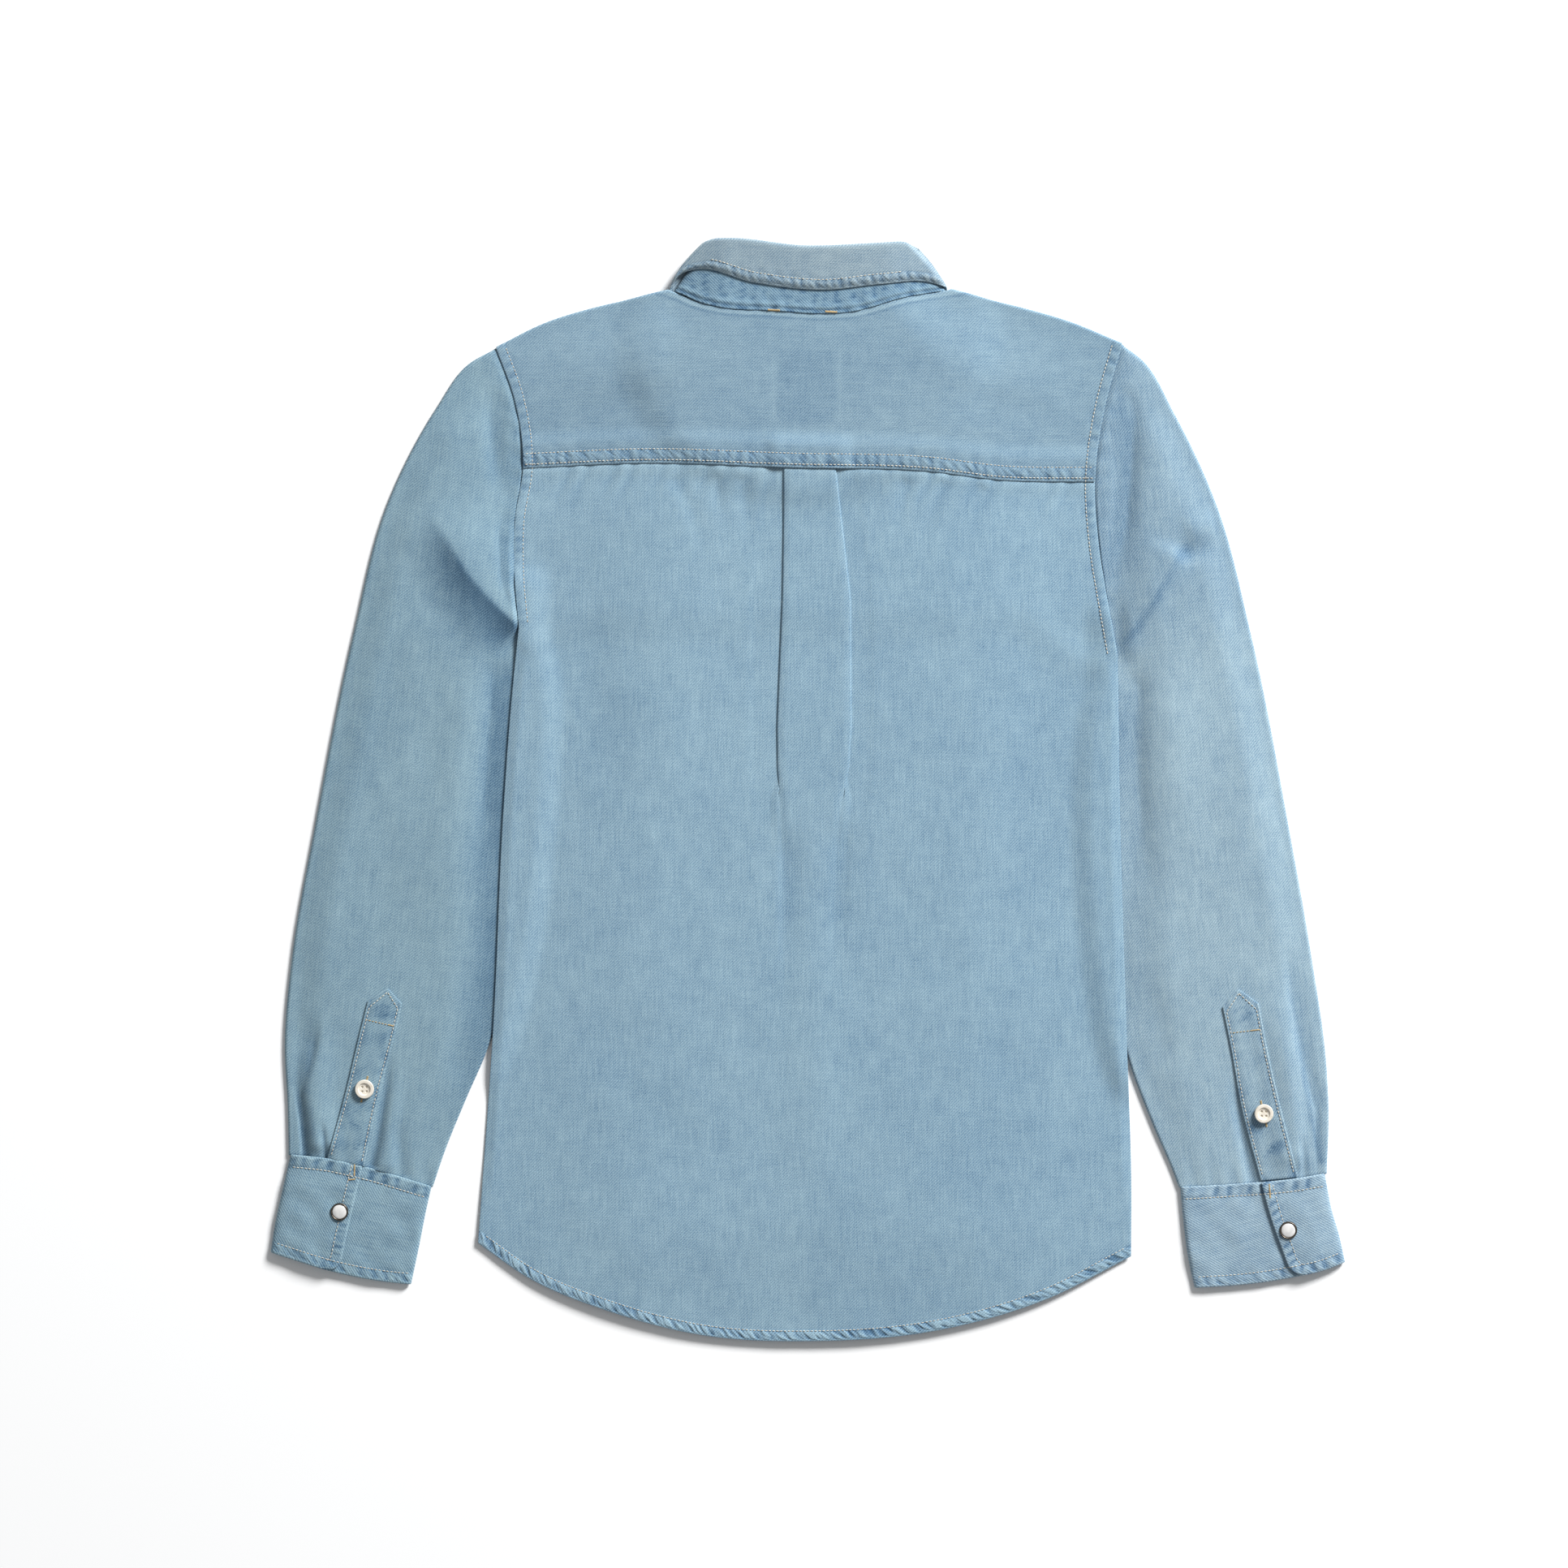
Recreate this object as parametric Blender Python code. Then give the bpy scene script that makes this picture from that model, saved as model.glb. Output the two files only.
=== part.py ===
"""A long-sleeved denim shirt laid flat on its front, back side up, as cloth walls in layers.

X runs across the shirt, Y from the hem to the collar and Z up from the surface that it lies on.
The wearer's left is at -X. Lengths are in millimetres and are turned into metres when a mesh is made.
"""

from collections import namedtuple
from math import cos, pi, sin

import bmesh
import bpy
import numpy as np
from mathutils import Matrix

MM = 0.001

# Walls and clearances
CLOTH = 1.0
STAND_WALL = 1.2
LEAF_WALL = 1.4
CUFF_WALL = 1.5
PLACKET_WALL = 1.1
GAP = 0.3
PLY = CLOTH + GAP

# How the layers lie on each other, as heights above the surface
SLEEVE_FLAT = 2.1
SLEEVE_UNDER_BODY = 2.9
COLLAR_UNDER_FRONT = LEAF_WALL + GAP
SNAP_UNDER_FRONT = 2.3
BACK_LOFT = 2.4
SEAM_RISE = PLY + 1.0
FRONT_CLEARANCE = PLY + 0.15
ARMHOLE_LOFT = 0.9
COLLAR_LOFT = 2.2

# The front closure, hidden under the shirt
FRONT_LAP = 15.0
FRONT_HEM_SHORTER = 7.0
YOKE_WRAP = 30.0
YOKE_LAP = 9.6
FRONT_SNAPS = (192.0, 110.0, 28.0, -54.0, -136.0, -218.0)
STAND_SNAP = 278.0

# Hardware
SNAP_RADIUS = 6.0
SNAP_RIM = 1.1
SNAP_HEIGHT = 1.9
BUTTON_RADIUS = 6.5
BUTTON_HEIGHT = 2.4
BUTTON_HOLE = 0.85
BUTTON_HOLE_SPREAD = 1.5

Point = namedtuple("Point", "across up")


def line(*pairs):
    return [Point(*pair) for pair in pairs]


# Outlines as seen from above: across and up from the middle of the shirt
SHOULDER = {
    "left": line((-95.0, 336.6), (-138.0, 326.4), (-180.0, 313.5), (-211.0, 298.0)),
    "right": line((97.0, 337.0), (139.0, 326.0), (176.6, 315.2), (212.0, 300.6)),
}
ARMHOLE = {
    "left": line(
        (-211.0, 298.0), (-199.1, 265.0), (-192.9, 220.0), (-198.6, 181.5), (-198.6, 141.4), (-195.8, 110.0),
    ),
    "right": line(
        (212.0, 300.6), (200.8, 260.2), (193.8, 210.0), (196.5, 165.0), (202.4, 127.6), (209.0, 90.0),
    ),
}
SIDE = {
    "left": line(
        (-195.8, 110.0), (-200.2, 67.0), (-206.3, -13.8), (-213.1, -159.5), (-220.8, -270.0), (-223.5, -307.5),
    ),
    "right": line((209.0, 90.0), (210.7, -15.4), (215.1, -162.3), (218.6, -275.0), (218.3, -316.5)),
}
HEM = line(
    (-223.5, -307.5), (-188.9, -331.3), (-132.0, -354.5), (-70.0, -370.0),
    (2.2, -373.7), (83.6, -367.1), (161.0, -345.4), (218.3, -316.5),
)
YOKE_SEAM = line(
    (-192.9, 217.5), (-112.2, 220.7), (-8.8, 217.5), (81.4, 215.1), (130.0, 209.3), (193.8, 208.2),
)
BACK_NECK = line((-95.0, 336.6), (-70.1, 327.0), (-27.5, 323.4), (20.9, 321.2), (61.1, 331.1), (97.0, 337.0))
FRONT_NECK = {
    "left": line(
        (-95.0, 336.6), (-88.0, 306.0), (-70.0, 283.0), (-40.0, 267.0), (0.0, 261.0), (FRONT_LAP, 261.6),
    ),
    "right": line(
        (97.0, 337.0), (89.0, 306.0), (70.0, 283.0), (40.0, 267.0), (0.0, 261.0), (-FRONT_LAP, 261.6),
    ),
}
SLEEVE_OUTER = {
    "left": line(
        (-211.0, 298.0), (-230.5, 287.0), (-250.3, 259.6), (-284.4, 193.6), (-307.5, 105.6), (-333.9, -26.4),
        (-349.3, -114.4), (-354.2, -175.0), (-352.2, -215.0), (-351.5, -247.5),
    ),
    "right": line(
        (212.0, 300.6), (226.0, 290.0), (247.0, 255.0), (275.6, 193.6), (299.2, 105.6), (325.1, -26.4),
        (340.5, -114.4), (350.4, -185.9), (352.0, -218.9), (350.7, -260.4),
    ),
}
SLEEVE_INNER = {
    "left": line(
        (-195.8, 110.0), (-188.0, 67.0), (-189.2, 12.0), (-193.1, -43.0), (-202.4, -114.4),
        (-217.0, -174.0), (-232.7, -210.7), (-247.0, -246.0), (-254.9, -269.4),
    ),
    "right": line(
        (209.0, 90.0), (209.4, 76.0), (203.5, 50.0), (199.5, 5.0), (201.0, -60.0), (206.5, -120.0),
        (216.5, -180.0), (233.8, -227.2), (247.5, -259.0), (251.5, -269.7),
    ),
}
CUFF_SEAM = {
    "left": line((-351.7, -248.2), (-326.5, -250.8), (-300.9, -256.4), (-254.9, -270.0)),
    "right": line((350.7, -261.0), (328.4, -264.7), (284.7, -268.4), (251.5, -270.3)),
}
CUFF_OUTER = {
    "left": line((-351.7, -248.2), (-357.5, -273.7), (-361.8, -293.0), (-364.9, -313.0)),
    "right": line((350.7, -261.0), (355.6, -285.8), (360.1, -300.9), (364.3, -319.5)),
}
CUFF_INNER = {
    "left": line((-254.9, -270.0), (-258.5, -286.0), (-263.2, -310.0), (-268.5, -335.0)),
    "right": line((251.5, -270.3), (253.4, -292.0), (257.5, -322.0), (261.0, -337.3)),
}
CUFF_EDGE = {
    "left": line((-364.9, -313.0), (-346.2, -319.0), (-326.5, -325.1), (-289.3, -332.8), (-268.5, -335.0)),
    "right": line((364.3, -319.5), (350.9, -324.8), (331.4, -329.5), (290.7, -335.5), (261.0, -337.3)),
}
# Where the lapping end of the cuff stops, as a share of the way from its outer fold to its inner one
CUFF_LAP = {"left": (0.50, 0.49), "right": (0.44, 0.36)}
CUFF_UNDERLAP = 0.24
CUFF_SNAP = {"left": Point(-317.4, -286.3), "right": Point(324.9, -298.8)}

COLLAR_FOLD = line(
    (-94.6, 339.2), (-86.4, 357.0), (-73.3, 371.8), (-49.1, 371.9), (-3.5, 366.9),
    (40.0, 368.3), (70.2, 370.3), (82.0, 357.5), (95.6, 339.2),
)
LEAF_EDGE = line(
    (-94.6, 339.2), (-86.1, 348.8), (-76.8, 351.6), (-36.9, 342.7),
    (9.8, 337.7), (49.8, 341.7), (80.0, 343.4), (95.6, 339.2),
)
COLLAR_FRONT_FOLD = line((-75.0, 371.0), (-66.0, 331.0), (-44.0, 305.0), (-14.0, 293.0))
COLLAR_FRONT_EDGE = line((-94.6, 339.2), (-91.0, 296.0), (-75.0, 253.0), (-52.0, 226.0))

PLACKET = {
    "left": {
        "outer": line((-297.9, -144.1), (-303.2, -165.2), (-313.0, -205.9), (-325.8, -252.0)),
        "inner": line((-275.7, -145.5), (-281.3, -169.7), (-290.4, -204.4), (-301.7, -257.0)),
        "tip": Point(-284.8, -135.4),
    },
    "right": {
        "outer": line((304.3, -145.5), (310.3, -177.2), (319.3, -216.4), (331.4, -264.2)),
        "inner": line((280.9, -147.8), (286.9, -177.1), (293.0, -211.9), (307.2, -266.6)),
        "tip": Point(291.4, -136.2),
    },
}
PLACKET_BUTTON = {"left": Point(-300.5, -203.3), "right": Point(308.3, -219.9)}

# The box pleat: where its two edges lie at each height up the back, and how much of its
# overhang and of its rise is left there
Pleat = namedtuple("Pleat", "up left right overhang rise")
BOX_PLEAT = (
    Pleat(225.0, -16.5, 17.0, 1.0, 1.0),
    Pleat(178.8, -16.3, 22.5, 1.0, 1.0),
    Pleat(127.6, -16.8, 28.3, 1.0, 1.0),
    Pleat(41.3, -19.8, 28.9, 1.0, 1.0),
    Pleat(15.0, -20.6, 28.6, 0.7, 1.0),
    Pleat(-8.0, -20.2, 25.0, 0.0, 0.9),
    Pleat(-35.0, -19.0, 22.0, 0.0, 0.45),
    Pleat(-90.0, -18.5, 20.0, 0.0, 0.22),
    Pleat(-155.0, -16.0, 18.0, 0.0, 0.0),
    Pleat(-380.0, -16.0, 18.0, 0.0, 0.0),
)
PLEAT_DEPTH = 9.0
# The back's other columns, as shares of the way from a side to the pleat
BACK_COLUMNS = np.array([0.0, 0.025, 0.062, 0.096, 0.148, 0.203, 0.36, 0.54, 0.72, 0.89])
# One folded edge of the pleat, from the panel up to the pleat's top: how far under the pleat each
# line of the fold reaches (a share of its depth), its height in plies, and where it lies when flat
Fold = namedtuple("Fold", "under plies flat")
PLEAT_FOLD = (
    Fold(-0.35, 0.0, -7.5),
    Fold(0.93, 0.0, -5.0),
    Fold(1.0, 0.5, -2.5),
    Fold(0.93, 1.0, 0.0),
    Fold(0.07, 1.0, 2.0),
    Fold(0.0, 1.5, 4.0),
    Fold(0.07, 2.0, 6.0),
)

# The large fold that runs from each armpit up over the sleeve
ARMPIT_FOLD = {
    "left": line((-196.4, 111.1), (-255.3, 186.2)),
    "right": line((208.3, 90.8), (251.6, 167.2)),
}
ARMPIT_RISE = 2.6

# How high the sleeve's upper layer stands above its flat height, down its length
SLEEVE_PUFF = line(
    (300.0, 0.0), (240.0, 2.2), (150.0, 3.6), (0.0, 3.6), (-150.0, 3.0), (-230.0, 1.8), (-270.0, 1.0),
)

SIDES = {"left": -1.0, "right": 1.0}


def ease(value):
    """0 below 0, 1 above 1 and a smooth step between."""
    value = np.clip(value, 0.0, 1.0)
    return value * value * (3.0 - 2.0 * value)


def smooth(points, shares):
    """Points of the smooth curve through the given ones, at shares of its length."""
    points = np.array(points, float)
    chord = np.concatenate([[0.0], np.cumsum(np.linalg.norm(np.diff(points, axis=0), axis=1))])
    slope = np.gradient(points, chord, axis=0)
    fine = []
    for start in range(len(points) - 1):
        span = chord[start + 1] - chord[start]
        for step in np.linspace(0.0, 1.0, 12, endpoint=False):
            keep = 2 * step**3 - 3 * step**2 + 1
            leave = step**3 - 2 * step**2 + step
            arrive = step**3 - step**2
            fine.append(
                keep * points[start] + (1 - keep) * points[start + 1]
                + span * (leave * slope[start] + arrive * slope[start + 1])
            )
    fine = np.array(fine + [points[-1]])
    length = np.concatenate([[0.0], np.cumsum(np.linalg.norm(np.diff(fine, axis=0), axis=1))])
    wanted = np.asarray(shares, float) * length[-1]
    return np.stack([np.interp(wanted, length, fine[:, 0]), np.interp(wanted, length, fine[:, 1])], axis=-1)


def joined(*curves):
    """One curve of many short chords out of several that meet in corners."""
    parts = [smooth(curve, np.linspace(0.0, 1.0, 25)) for curve in curves]
    return np.concatenate([parts[0]] + [part[1:] for part in parts[1:]])


def along(chords, shares):
    """Points at shares of the length of a chain of chords."""
    length = np.concatenate([[0.0], np.cumsum(np.linalg.norm(np.diff(chords, axis=0), axis=1))])
    wanted = np.asarray(shares, float) * length[-1]
    across, up = (np.interp(wanted, length, chords[:, axis]) for axis in (0, 1))
    return np.stack([across, up], axis=-1)


def patch(start, end, first, last, u, v):
    """The surface inside four chains: start and end run with u, first and last run with v."""
    u = np.asarray(u, float)
    v = np.broadcast_to(np.asarray(v, float), u.shape)
    a, b = along(start, u), along(end, u)
    c, d = along(first, v), along(last, v)
    u, v = u[..., None], v[..., None]
    corners = (
        (1 - u) * (1 - v) * start[0] + u * (1 - v) * start[-1] + (1 - u) * v * end[0] + u * v * end[-1]
    )
    return (1 - v) * a + v * b + (1 - u) * c + u * d - corners


def across_at(points, up):
    """How far across a curve lies at a height up the shirt."""
    curve = smooth(points, np.linspace(0.0, 1.0, 60))
    order = np.argsort(curve[:, 1])
    return np.interp(up, curve[order, 1], curve[order, 0])


def body_edge(side, up):
    return np.abs(across_at(list(ARMHOLE[side]) + list(SIDE[side][1:]), up))


def sleeve_inner_edge(side, up):
    return np.abs(across_at(SLEEVE_INNER[side], up))


def surface_lift(x, y):
    """How far sleeves, collar points and snaps hold the fronts off the surface."""
    lift = np.zeros_like(x)
    for side, sign in SIDES.items():
        out = sign * x
        armpit = SIDE[side][0].up
        ramp = ease((out - sleeve_inner_edge(side, y) + 24.0) / 19.0)
        window = ease((armpit + 46.0 - y) / 22.0) * ease((y + 222.0) / 30.0)
        lift = np.maximum(lift, SLEEVE_UNDER_BODY * ramp * window)
    collar = np.hypot(x / 1.16, (y - 305.0) / 1.0)
    lift = np.maximum(lift, COLLAR_UNDER_FRONT * ease((118.0 - collar) / 22.0))
    for snap in FRONT_SNAPS:
        near = ease((27.0 - np.abs(y - snap)) / 16.0) * ease((34.0 - np.abs(x)) / 16.0)
        lift = np.maximum(lift, SNAP_UNDER_FRONT * near)
    return lift


def lap_lift(x, y):
    """The extra ply where the two fronts lap in the middle."""
    return SEAM_RISE * ease((FRONT_LAP + 16.0 - np.abs(x)) / 12.0) * ease((322.0 - y) / 24.0)


def edge_distance(x, y):
    """How far a point of the body is inside its armholes and side seams."""
    left = body_edge("left", y) + x
    right = body_edge("right", y) - x
    return np.maximum(np.minimum(left, right), 0.0)


def shoulder_line(x):
    """How far up the shoulders' fold lies; between them it stands for the neck's held-up edge."""
    above_neck = line(SHOULDER["left"][0], (0.0, 420.0), SHOULDER["right"][0])
    chain = joined(SHOULDER["left"][::-1], above_neck, SHOULDER["right"])
    return np.interp(x, chain[:, 0], chain[:, 1])


def back_height(x, y):
    """The middle of the back's and the yoke's wall."""
    inside = edge_distance(x, y)
    edge = ARMHOLE_LOFT * ease((y - 95.0) / 30.0)
    fall = ease((shoulder_line(x) - y) / 50.0)
    loft = edge + BACK_LOFT * ease(inside / 75.0) * fall
    stand = 0.6 * ease((125.0 - np.hypot(x, y - 300.0)) / 30.0)
    lift = surface_lift(x, y)
    lift = lift + 0.75 * ease(lift / 0.4)
    return lift + lap_lift(x, y) + FRONT_CLEARANCE + loft + stand + CLOTH / 2


def sleeve_height(side, x, y):
    """The middle of the wall of the sleeve's upper layer."""
    sign = SIDES[side]
    outer = np.abs(across_at(SLEEVE_OUTER[side], y)) - sign * x
    inner = sign * x - body_edge(side, y)
    below = ease((-150.0 - y) / 40.0)
    inner = inner * (1.0 - below) + below * (sign * x - sleeve_inner_edge(side, y))
    ups, puffs = np.array(SLEEVE_PUFF[::-1]).T
    rise = np.interp(y, ups, puffs) * ease(outer / 30.0) * ease((inner - 2.0) / 42.0)
    start, end = np.array(ARMPIT_FOLD[side])
    direction = (end - start) / np.linalg.norm(end - start)
    away = np.stack([x, y], axis=-1) - start
    share = away @ direction / np.linalg.norm(end - start)
    off = (away[..., 0] * direction[1] - away[..., 1] * direction[0]) * -sign
    ridge = np.where(off > 0.0, 1.0 - ease(off / 34.0), 1.0 - ease(-off / 8.0))
    window = ease((share - 0.12) / 0.3) * ease((1.25 - share) / 0.5)
    return SLEEVE_FLAT + rise + ARMPIT_RISE * ridge * window


def material(name, colour, roughness, metallic=0.0):
    made = bpy.data.materials.new(name)
    made.use_nodes = True
    shader = made.node_tree.nodes["Principled BSDF"]
    shader.inputs["Base Color"].default_value = (*colour, 1.0)
    shader.inputs["Roughness"].default_value = roughness
    shader.inputs["Metallic"].default_value = metallic
    return made


def add_object(name, mesh, made):
    item = bpy.data.objects.new(name, mesh)
    item.data.materials.append(made)
    bpy.context.scene.collection.objects.link(item)
    return item


def add_sheet(name, vertices, faces, wall, made):
    """A cloth wall, half of it on each side of the given faces."""
    mesh = bpy.data.meshes.new(name)
    mesh.from_pydata([tuple(vertex * MM) for vertex in vertices], [], faces)
    mesh.update()
    mesh.shade_smooth()
    item = add_object(name, mesh, made)
    thick = item.modifiers.new("wall", "SOLIDIFY")
    thick.thickness = wall * MM
    thick.offset = 0.0
    return item


def grid_faces(rows, columns, closed=False, start=0):
    """The faces of a grid that is stored row by row; a closed grid joins its last column to its first."""
    faces = []
    for row in range(rows - 1):
        for column in range(columns if closed else columns - 1):
            here = start + row * columns + column
            right = start + row * columns + (column + 1) % columns
            faces.append((here, right, right + columns, here + columns))
    return faces


def add_grid(name, grid, wall, made, closed=False):
    rows, columns = grid.shape[:2]
    return add_sheet(name, grid.reshape(-1, 3), grid_faces(rows, columns, closed), wall, made)


def add_turned(name, profile, segments, made, place, flip=False):
    """A round piece from its half profile of (radius, height) points, closed on its axis or as a ring."""
    mesh = bpy.data.meshes.new(name)
    work = bmesh.new()
    rings = []
    for radius, height in profile:
        if radius == 0.0:
            rings.append([work.verts.new((0.0, 0.0, height * MM))] * segments)
            continue
        angles = [2 * pi * step / segments for step in range(segments)]
        places = [(radius * cos(a) * MM, radius * sin(a) * MM, height * MM) for a in angles]
        rings.append([work.verts.new(place) for place in places])
    on_axis = profile[0][0] == 0.0
    pairs = list(zip(rings, rings[1:])) if on_axis else list(zip(rings, rings[1:] + rings[:1]))
    for low, high in pairs:
        for step in range(segments):
            after = (step + 1) % segments
            corners = [low[step], low[after], high[after], high[step]]
            work.faces.new(list(dict.fromkeys(corners)))
    if flip:
        bmesh.ops.transform(work, matrix=Matrix.Rotation(pi, 4, "X"), verts=work.verts)
    bmesh.ops.recalc_face_normals(work, faces=work.faces)
    work.to_mesh(mesh)
    work.free()
    mesh.shade_smooth()
    item = add_object(name, mesh, made)
    item.location = tuple(value * MM for value in place)
    return item


def make_front(side, made):
    """One front, from its armhole and side seam to the middle, where the left one lies outermost."""
    sign = SIDES[side]
    armhole = joined(ARMHOLE[side])
    from_wrap = along(armhole, np.linspace(wrap_share(side), 1.0, 20))
    up_the_side = np.concatenate([from_wrap, joined(SIDE[side])[1:]])
    neck = joined(FRONT_NECK[side])
    neck = neck[neck[:, 1] <= along(neck, [YOKE_WRAP / chain_length(neck)])[0, 1]]
    top = np.concatenate([[up_the_side[0] - (0.0, GAP)], neck - (0.0, GAP)])
    edge = -sign * FRONT_LAP
    closing = np.array([[edge, top[-1, 1]], [edge, -373.0 + FRONT_HEM_SHORTER]])
    hem = joined(HEM) if side == "left" else joined(HEM)[::-1]
    hem = hem[sign * hem[:, 0] > -FRONT_LAP]
    hem[:, 1] += FRONT_HEM_SHORTER * ease((215.0 - np.abs(hem[:, 0])) / 40.0)
    closing[-1] = hem[-1]
    up_the_side[0] = top[0]
    across = np.array(
        [0.0, 0.02, 0.05, 0.078, 0.12, 0.165, 0.26, 0.42, 0.58, 0.72, 0.82, 0.862, 0.93, 0.965, 1.0]
    )
    rows = [240.0]
    for snap in FRONT_SNAPS:
        rows += [snap + 28.0, snap + 10.0, snap - 10.0, snap - 28.0]
    rows += [-262.0, -300.0, -335.0]
    length = closing[0, 1] - closing[-1, 1]
    down = np.array([0.0] + [(closing[0, 1] - up) / length for up in rows] + [1.0])
    u, v = np.meshgrid(across, down)
    flat = patch(top, hem, up_the_side, closing, u, v)
    x, y = flat[..., 0], flat[..., 1]
    z = surface_lift(x, y) + CLOTH / 2
    if side == "right":
        z = z + lap_lift(x, y)
    return add_grid(f"front_{side}", np.dstack([x, y, z]), CLOTH, made)


def chain_length(chords):
    return float(np.linalg.norm(np.diff(chords, axis=0), axis=1).sum())


def wrap_share(side):
    """The share of the armhole that the yoke's front part takes up."""
    return (YOKE_WRAP - 2.0) / chain_length(joined(ARMHOLE[side]))


def make_back(made):
    """The back below the yoke, with the box pleat's folds in the middle."""
    under_yoke = np.array([(p.across, p.up + YOKE_LAP) for p in YOKE_SEAM])
    under_yoke[0] = (across_at(ARMHOLE["left"], under_yoke[0, 1]), under_yoke[0, 1])
    under_yoke[-1] = (across_at(ARMHOLE["right"], under_yoke[-1, 1]), under_yoke[-1, 1])
    top, hem = joined(under_yoke), joined(HEM)
    edges = {}
    for side in SIDES:
        armhole = joined(ARMHOLE[side])
        start = top[0] if side == "left" else top[-1]
        below_start = armhole[armhole[:, 1] < start[1] - 1.0]
        edges[side] = np.concatenate([[start], below_start, joined(SIDE[side])[1:]])
    levels = np.array([
        190.0, 158.0, 135.0, 112.0, 94.0, 74.0, 45.0, 20.0, 2.0,
        -14.0, -34.0, -65.0, -110.0, -160.0, -198.0, -236.0, -285.0, -335.0,
    ])
    middle_top, middle_hem = along(top, [0.5])[0, 1], along(hem, [0.5])[0, 1]
    down = np.concatenate([[0.0], (middle_top - levels) / (middle_top - middle_hem), [1.0]])
    ups, lefts, rights, overhangs, rises = np.array(BOX_PLEAT[::-1]).T
    grid = []
    for share in down:
        ends = patch(top, hem, edges["left"], edges["right"], np.array([0.0, 0.5, 1.0]), share)
        up, width = ends[1, 1], ends[2, 0] - ends[0, 0]
        left, right = np.interp(up, ups, lefts), np.interp(up, ups, rights)
        hang, rise = np.interp(up, ups, overhangs), np.interp(up, ups, rises)
        shift = [hang * fold.under * PLEAT_DEPTH + (1 - hang) * fold.flat for fold in PLEAT_FOLD]
        height = [rise * fold.plies * PLY for fold in PLEAT_FOLD]
        left_part = ends[0, 0] + (left + shift[0] - ends[0, 0]) * BACK_COLUMNS
        right_part = ends[2, 0] + (right - shift[0] - ends[2, 0]) * BACK_COLUMNS[::-1]
        over = np.linspace(left + shift[-1], right - shift[-1], 5)[1:-1]
        shift = np.array(shift)
        x = np.concatenate([left_part, left + shift, over, right - shift[::-1], right_part])
        plain = np.zeros(len(BACK_COLUMNS))
        raised = np.concatenate([plain, height, np.full(3, rise * 2 * PLY), height[::-1], plain])
        flat = patch(top, hem, edges["left"], edges["right"], (x - ends[0, 0]) / width, share)
        z = back_height(flat[:, 0], flat[:, 1]) + raised
        grid.append(np.column_stack([flat, z]))
    return add_grid("back", np.array(grid), CLOTH, made)


def make_yoke(made):
    """The yoke: its lower edge laps over the back, and it folds over the shoulders to the fronts."""
    lower = joined(YOKE_SEAM)
    upper = joined(SHOULDER["left"][::-1], BACK_NECK, SHOULDER["right"])
    cuts = {}
    for side in SIDES:
        armhole = joined(ARMHOLE[side])
        corner = lower[0 if side == "left" else -1]
        cuts[side] = np.concatenate([armhole[armhole[:, 1] > corner[1] + 1.0], [corner]])
    left_share = chain_length(joined(SHOULDER["left"])) / chain_length(upper)
    right_share = 1.0 - chain_length(joined(SHOULDER["right"])) / chain_length(upper)
    steps = 6
    over_neck = np.array([0.13, 0.25, 0.33, 0.405, 0.5, 0.595, 0.67, 0.76, 0.88])
    between = left_share + (right_share - left_share) * over_neck
    to_neck, from_neck = np.linspace(0.0, left_share, steps), np.linspace(right_share, 1.0, steps)
    across = np.concatenate([to_neck, between, from_neck])
    down = np.array([0.0, 0.06, 0.25, 0.5, 0.7, 0.82, 0.885, 0.94, 1.0])
    u, v = np.meshgrid(across, down)
    flat = patch(upper, lower, cuts["left"], cuts["right"], u, v)
    x, y = flat[..., 0], flat[..., 1]
    lap = y - np.interp(x, lower[:, 0], lower[:, 1])
    lapped = 1.0 - ease((lap - YOKE_LAP - 5.0) / 16.0)
    over_pleat = 2 * PLY * ease((33.0 - np.abs(x)) / 14.0)
    z = back_height(x, y) + (SEAM_RISE + over_pleat) * lapped
    top_grid = np.dstack([x, y, z])
    rows, columns = u.shape
    points = [*top_grid.reshape(-1, 3)]
    faces = grid_faces(rows, columns)
    for side in SIDES:
        chosen = range(steps) if side == "left" else range(columns - 1, columns - 1 - steps, -1)
        neck = joined(FRONT_NECK[side])
        front_neck = along(neck, [YOKE_WRAP / chain_length(neck)])[0]
        front_arm = along(joined(ARMHOLE[side]), [wrap_share(side)])[0]
        wrap = []
        for order, column in enumerate(chosen):
            start = top_grid[0, column]
            end = front_arm + (front_neck - front_arm) * order / (steps - 1)
            for share in (0.0, 0.12, 0.5, 1.0):
                place = start[:2] * (1 - share) + end * share
                low = surface_lift(place[:1], place[1:])[0] + CLOTH / 2
                wrap.append((*place, low))
        base = len(points)
        for place in wrap:
            points.append(np.array(place))
        for order in range(steps - 1):
            here, after = base + order * 4, base + (order + 1) * 4
            top_here, top_after = list(chosen)[order], list(chosen)[order + 1]
            loop = [(top_here, top_after, after, here)]
            loop += [(here + k, after + k, after + k + 1, here + k + 1) for k in range(3)]
            faces += loop if side == "right" else [face[::-1] for face in loop]
    for index in range(columns):
        if index < steps or index >= columns - steps:
            points[index] = points[index] - np.array([0.0, 0.8, 0.0])
    return add_sheet("yoke", points, faces, CLOTH, made)


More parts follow.
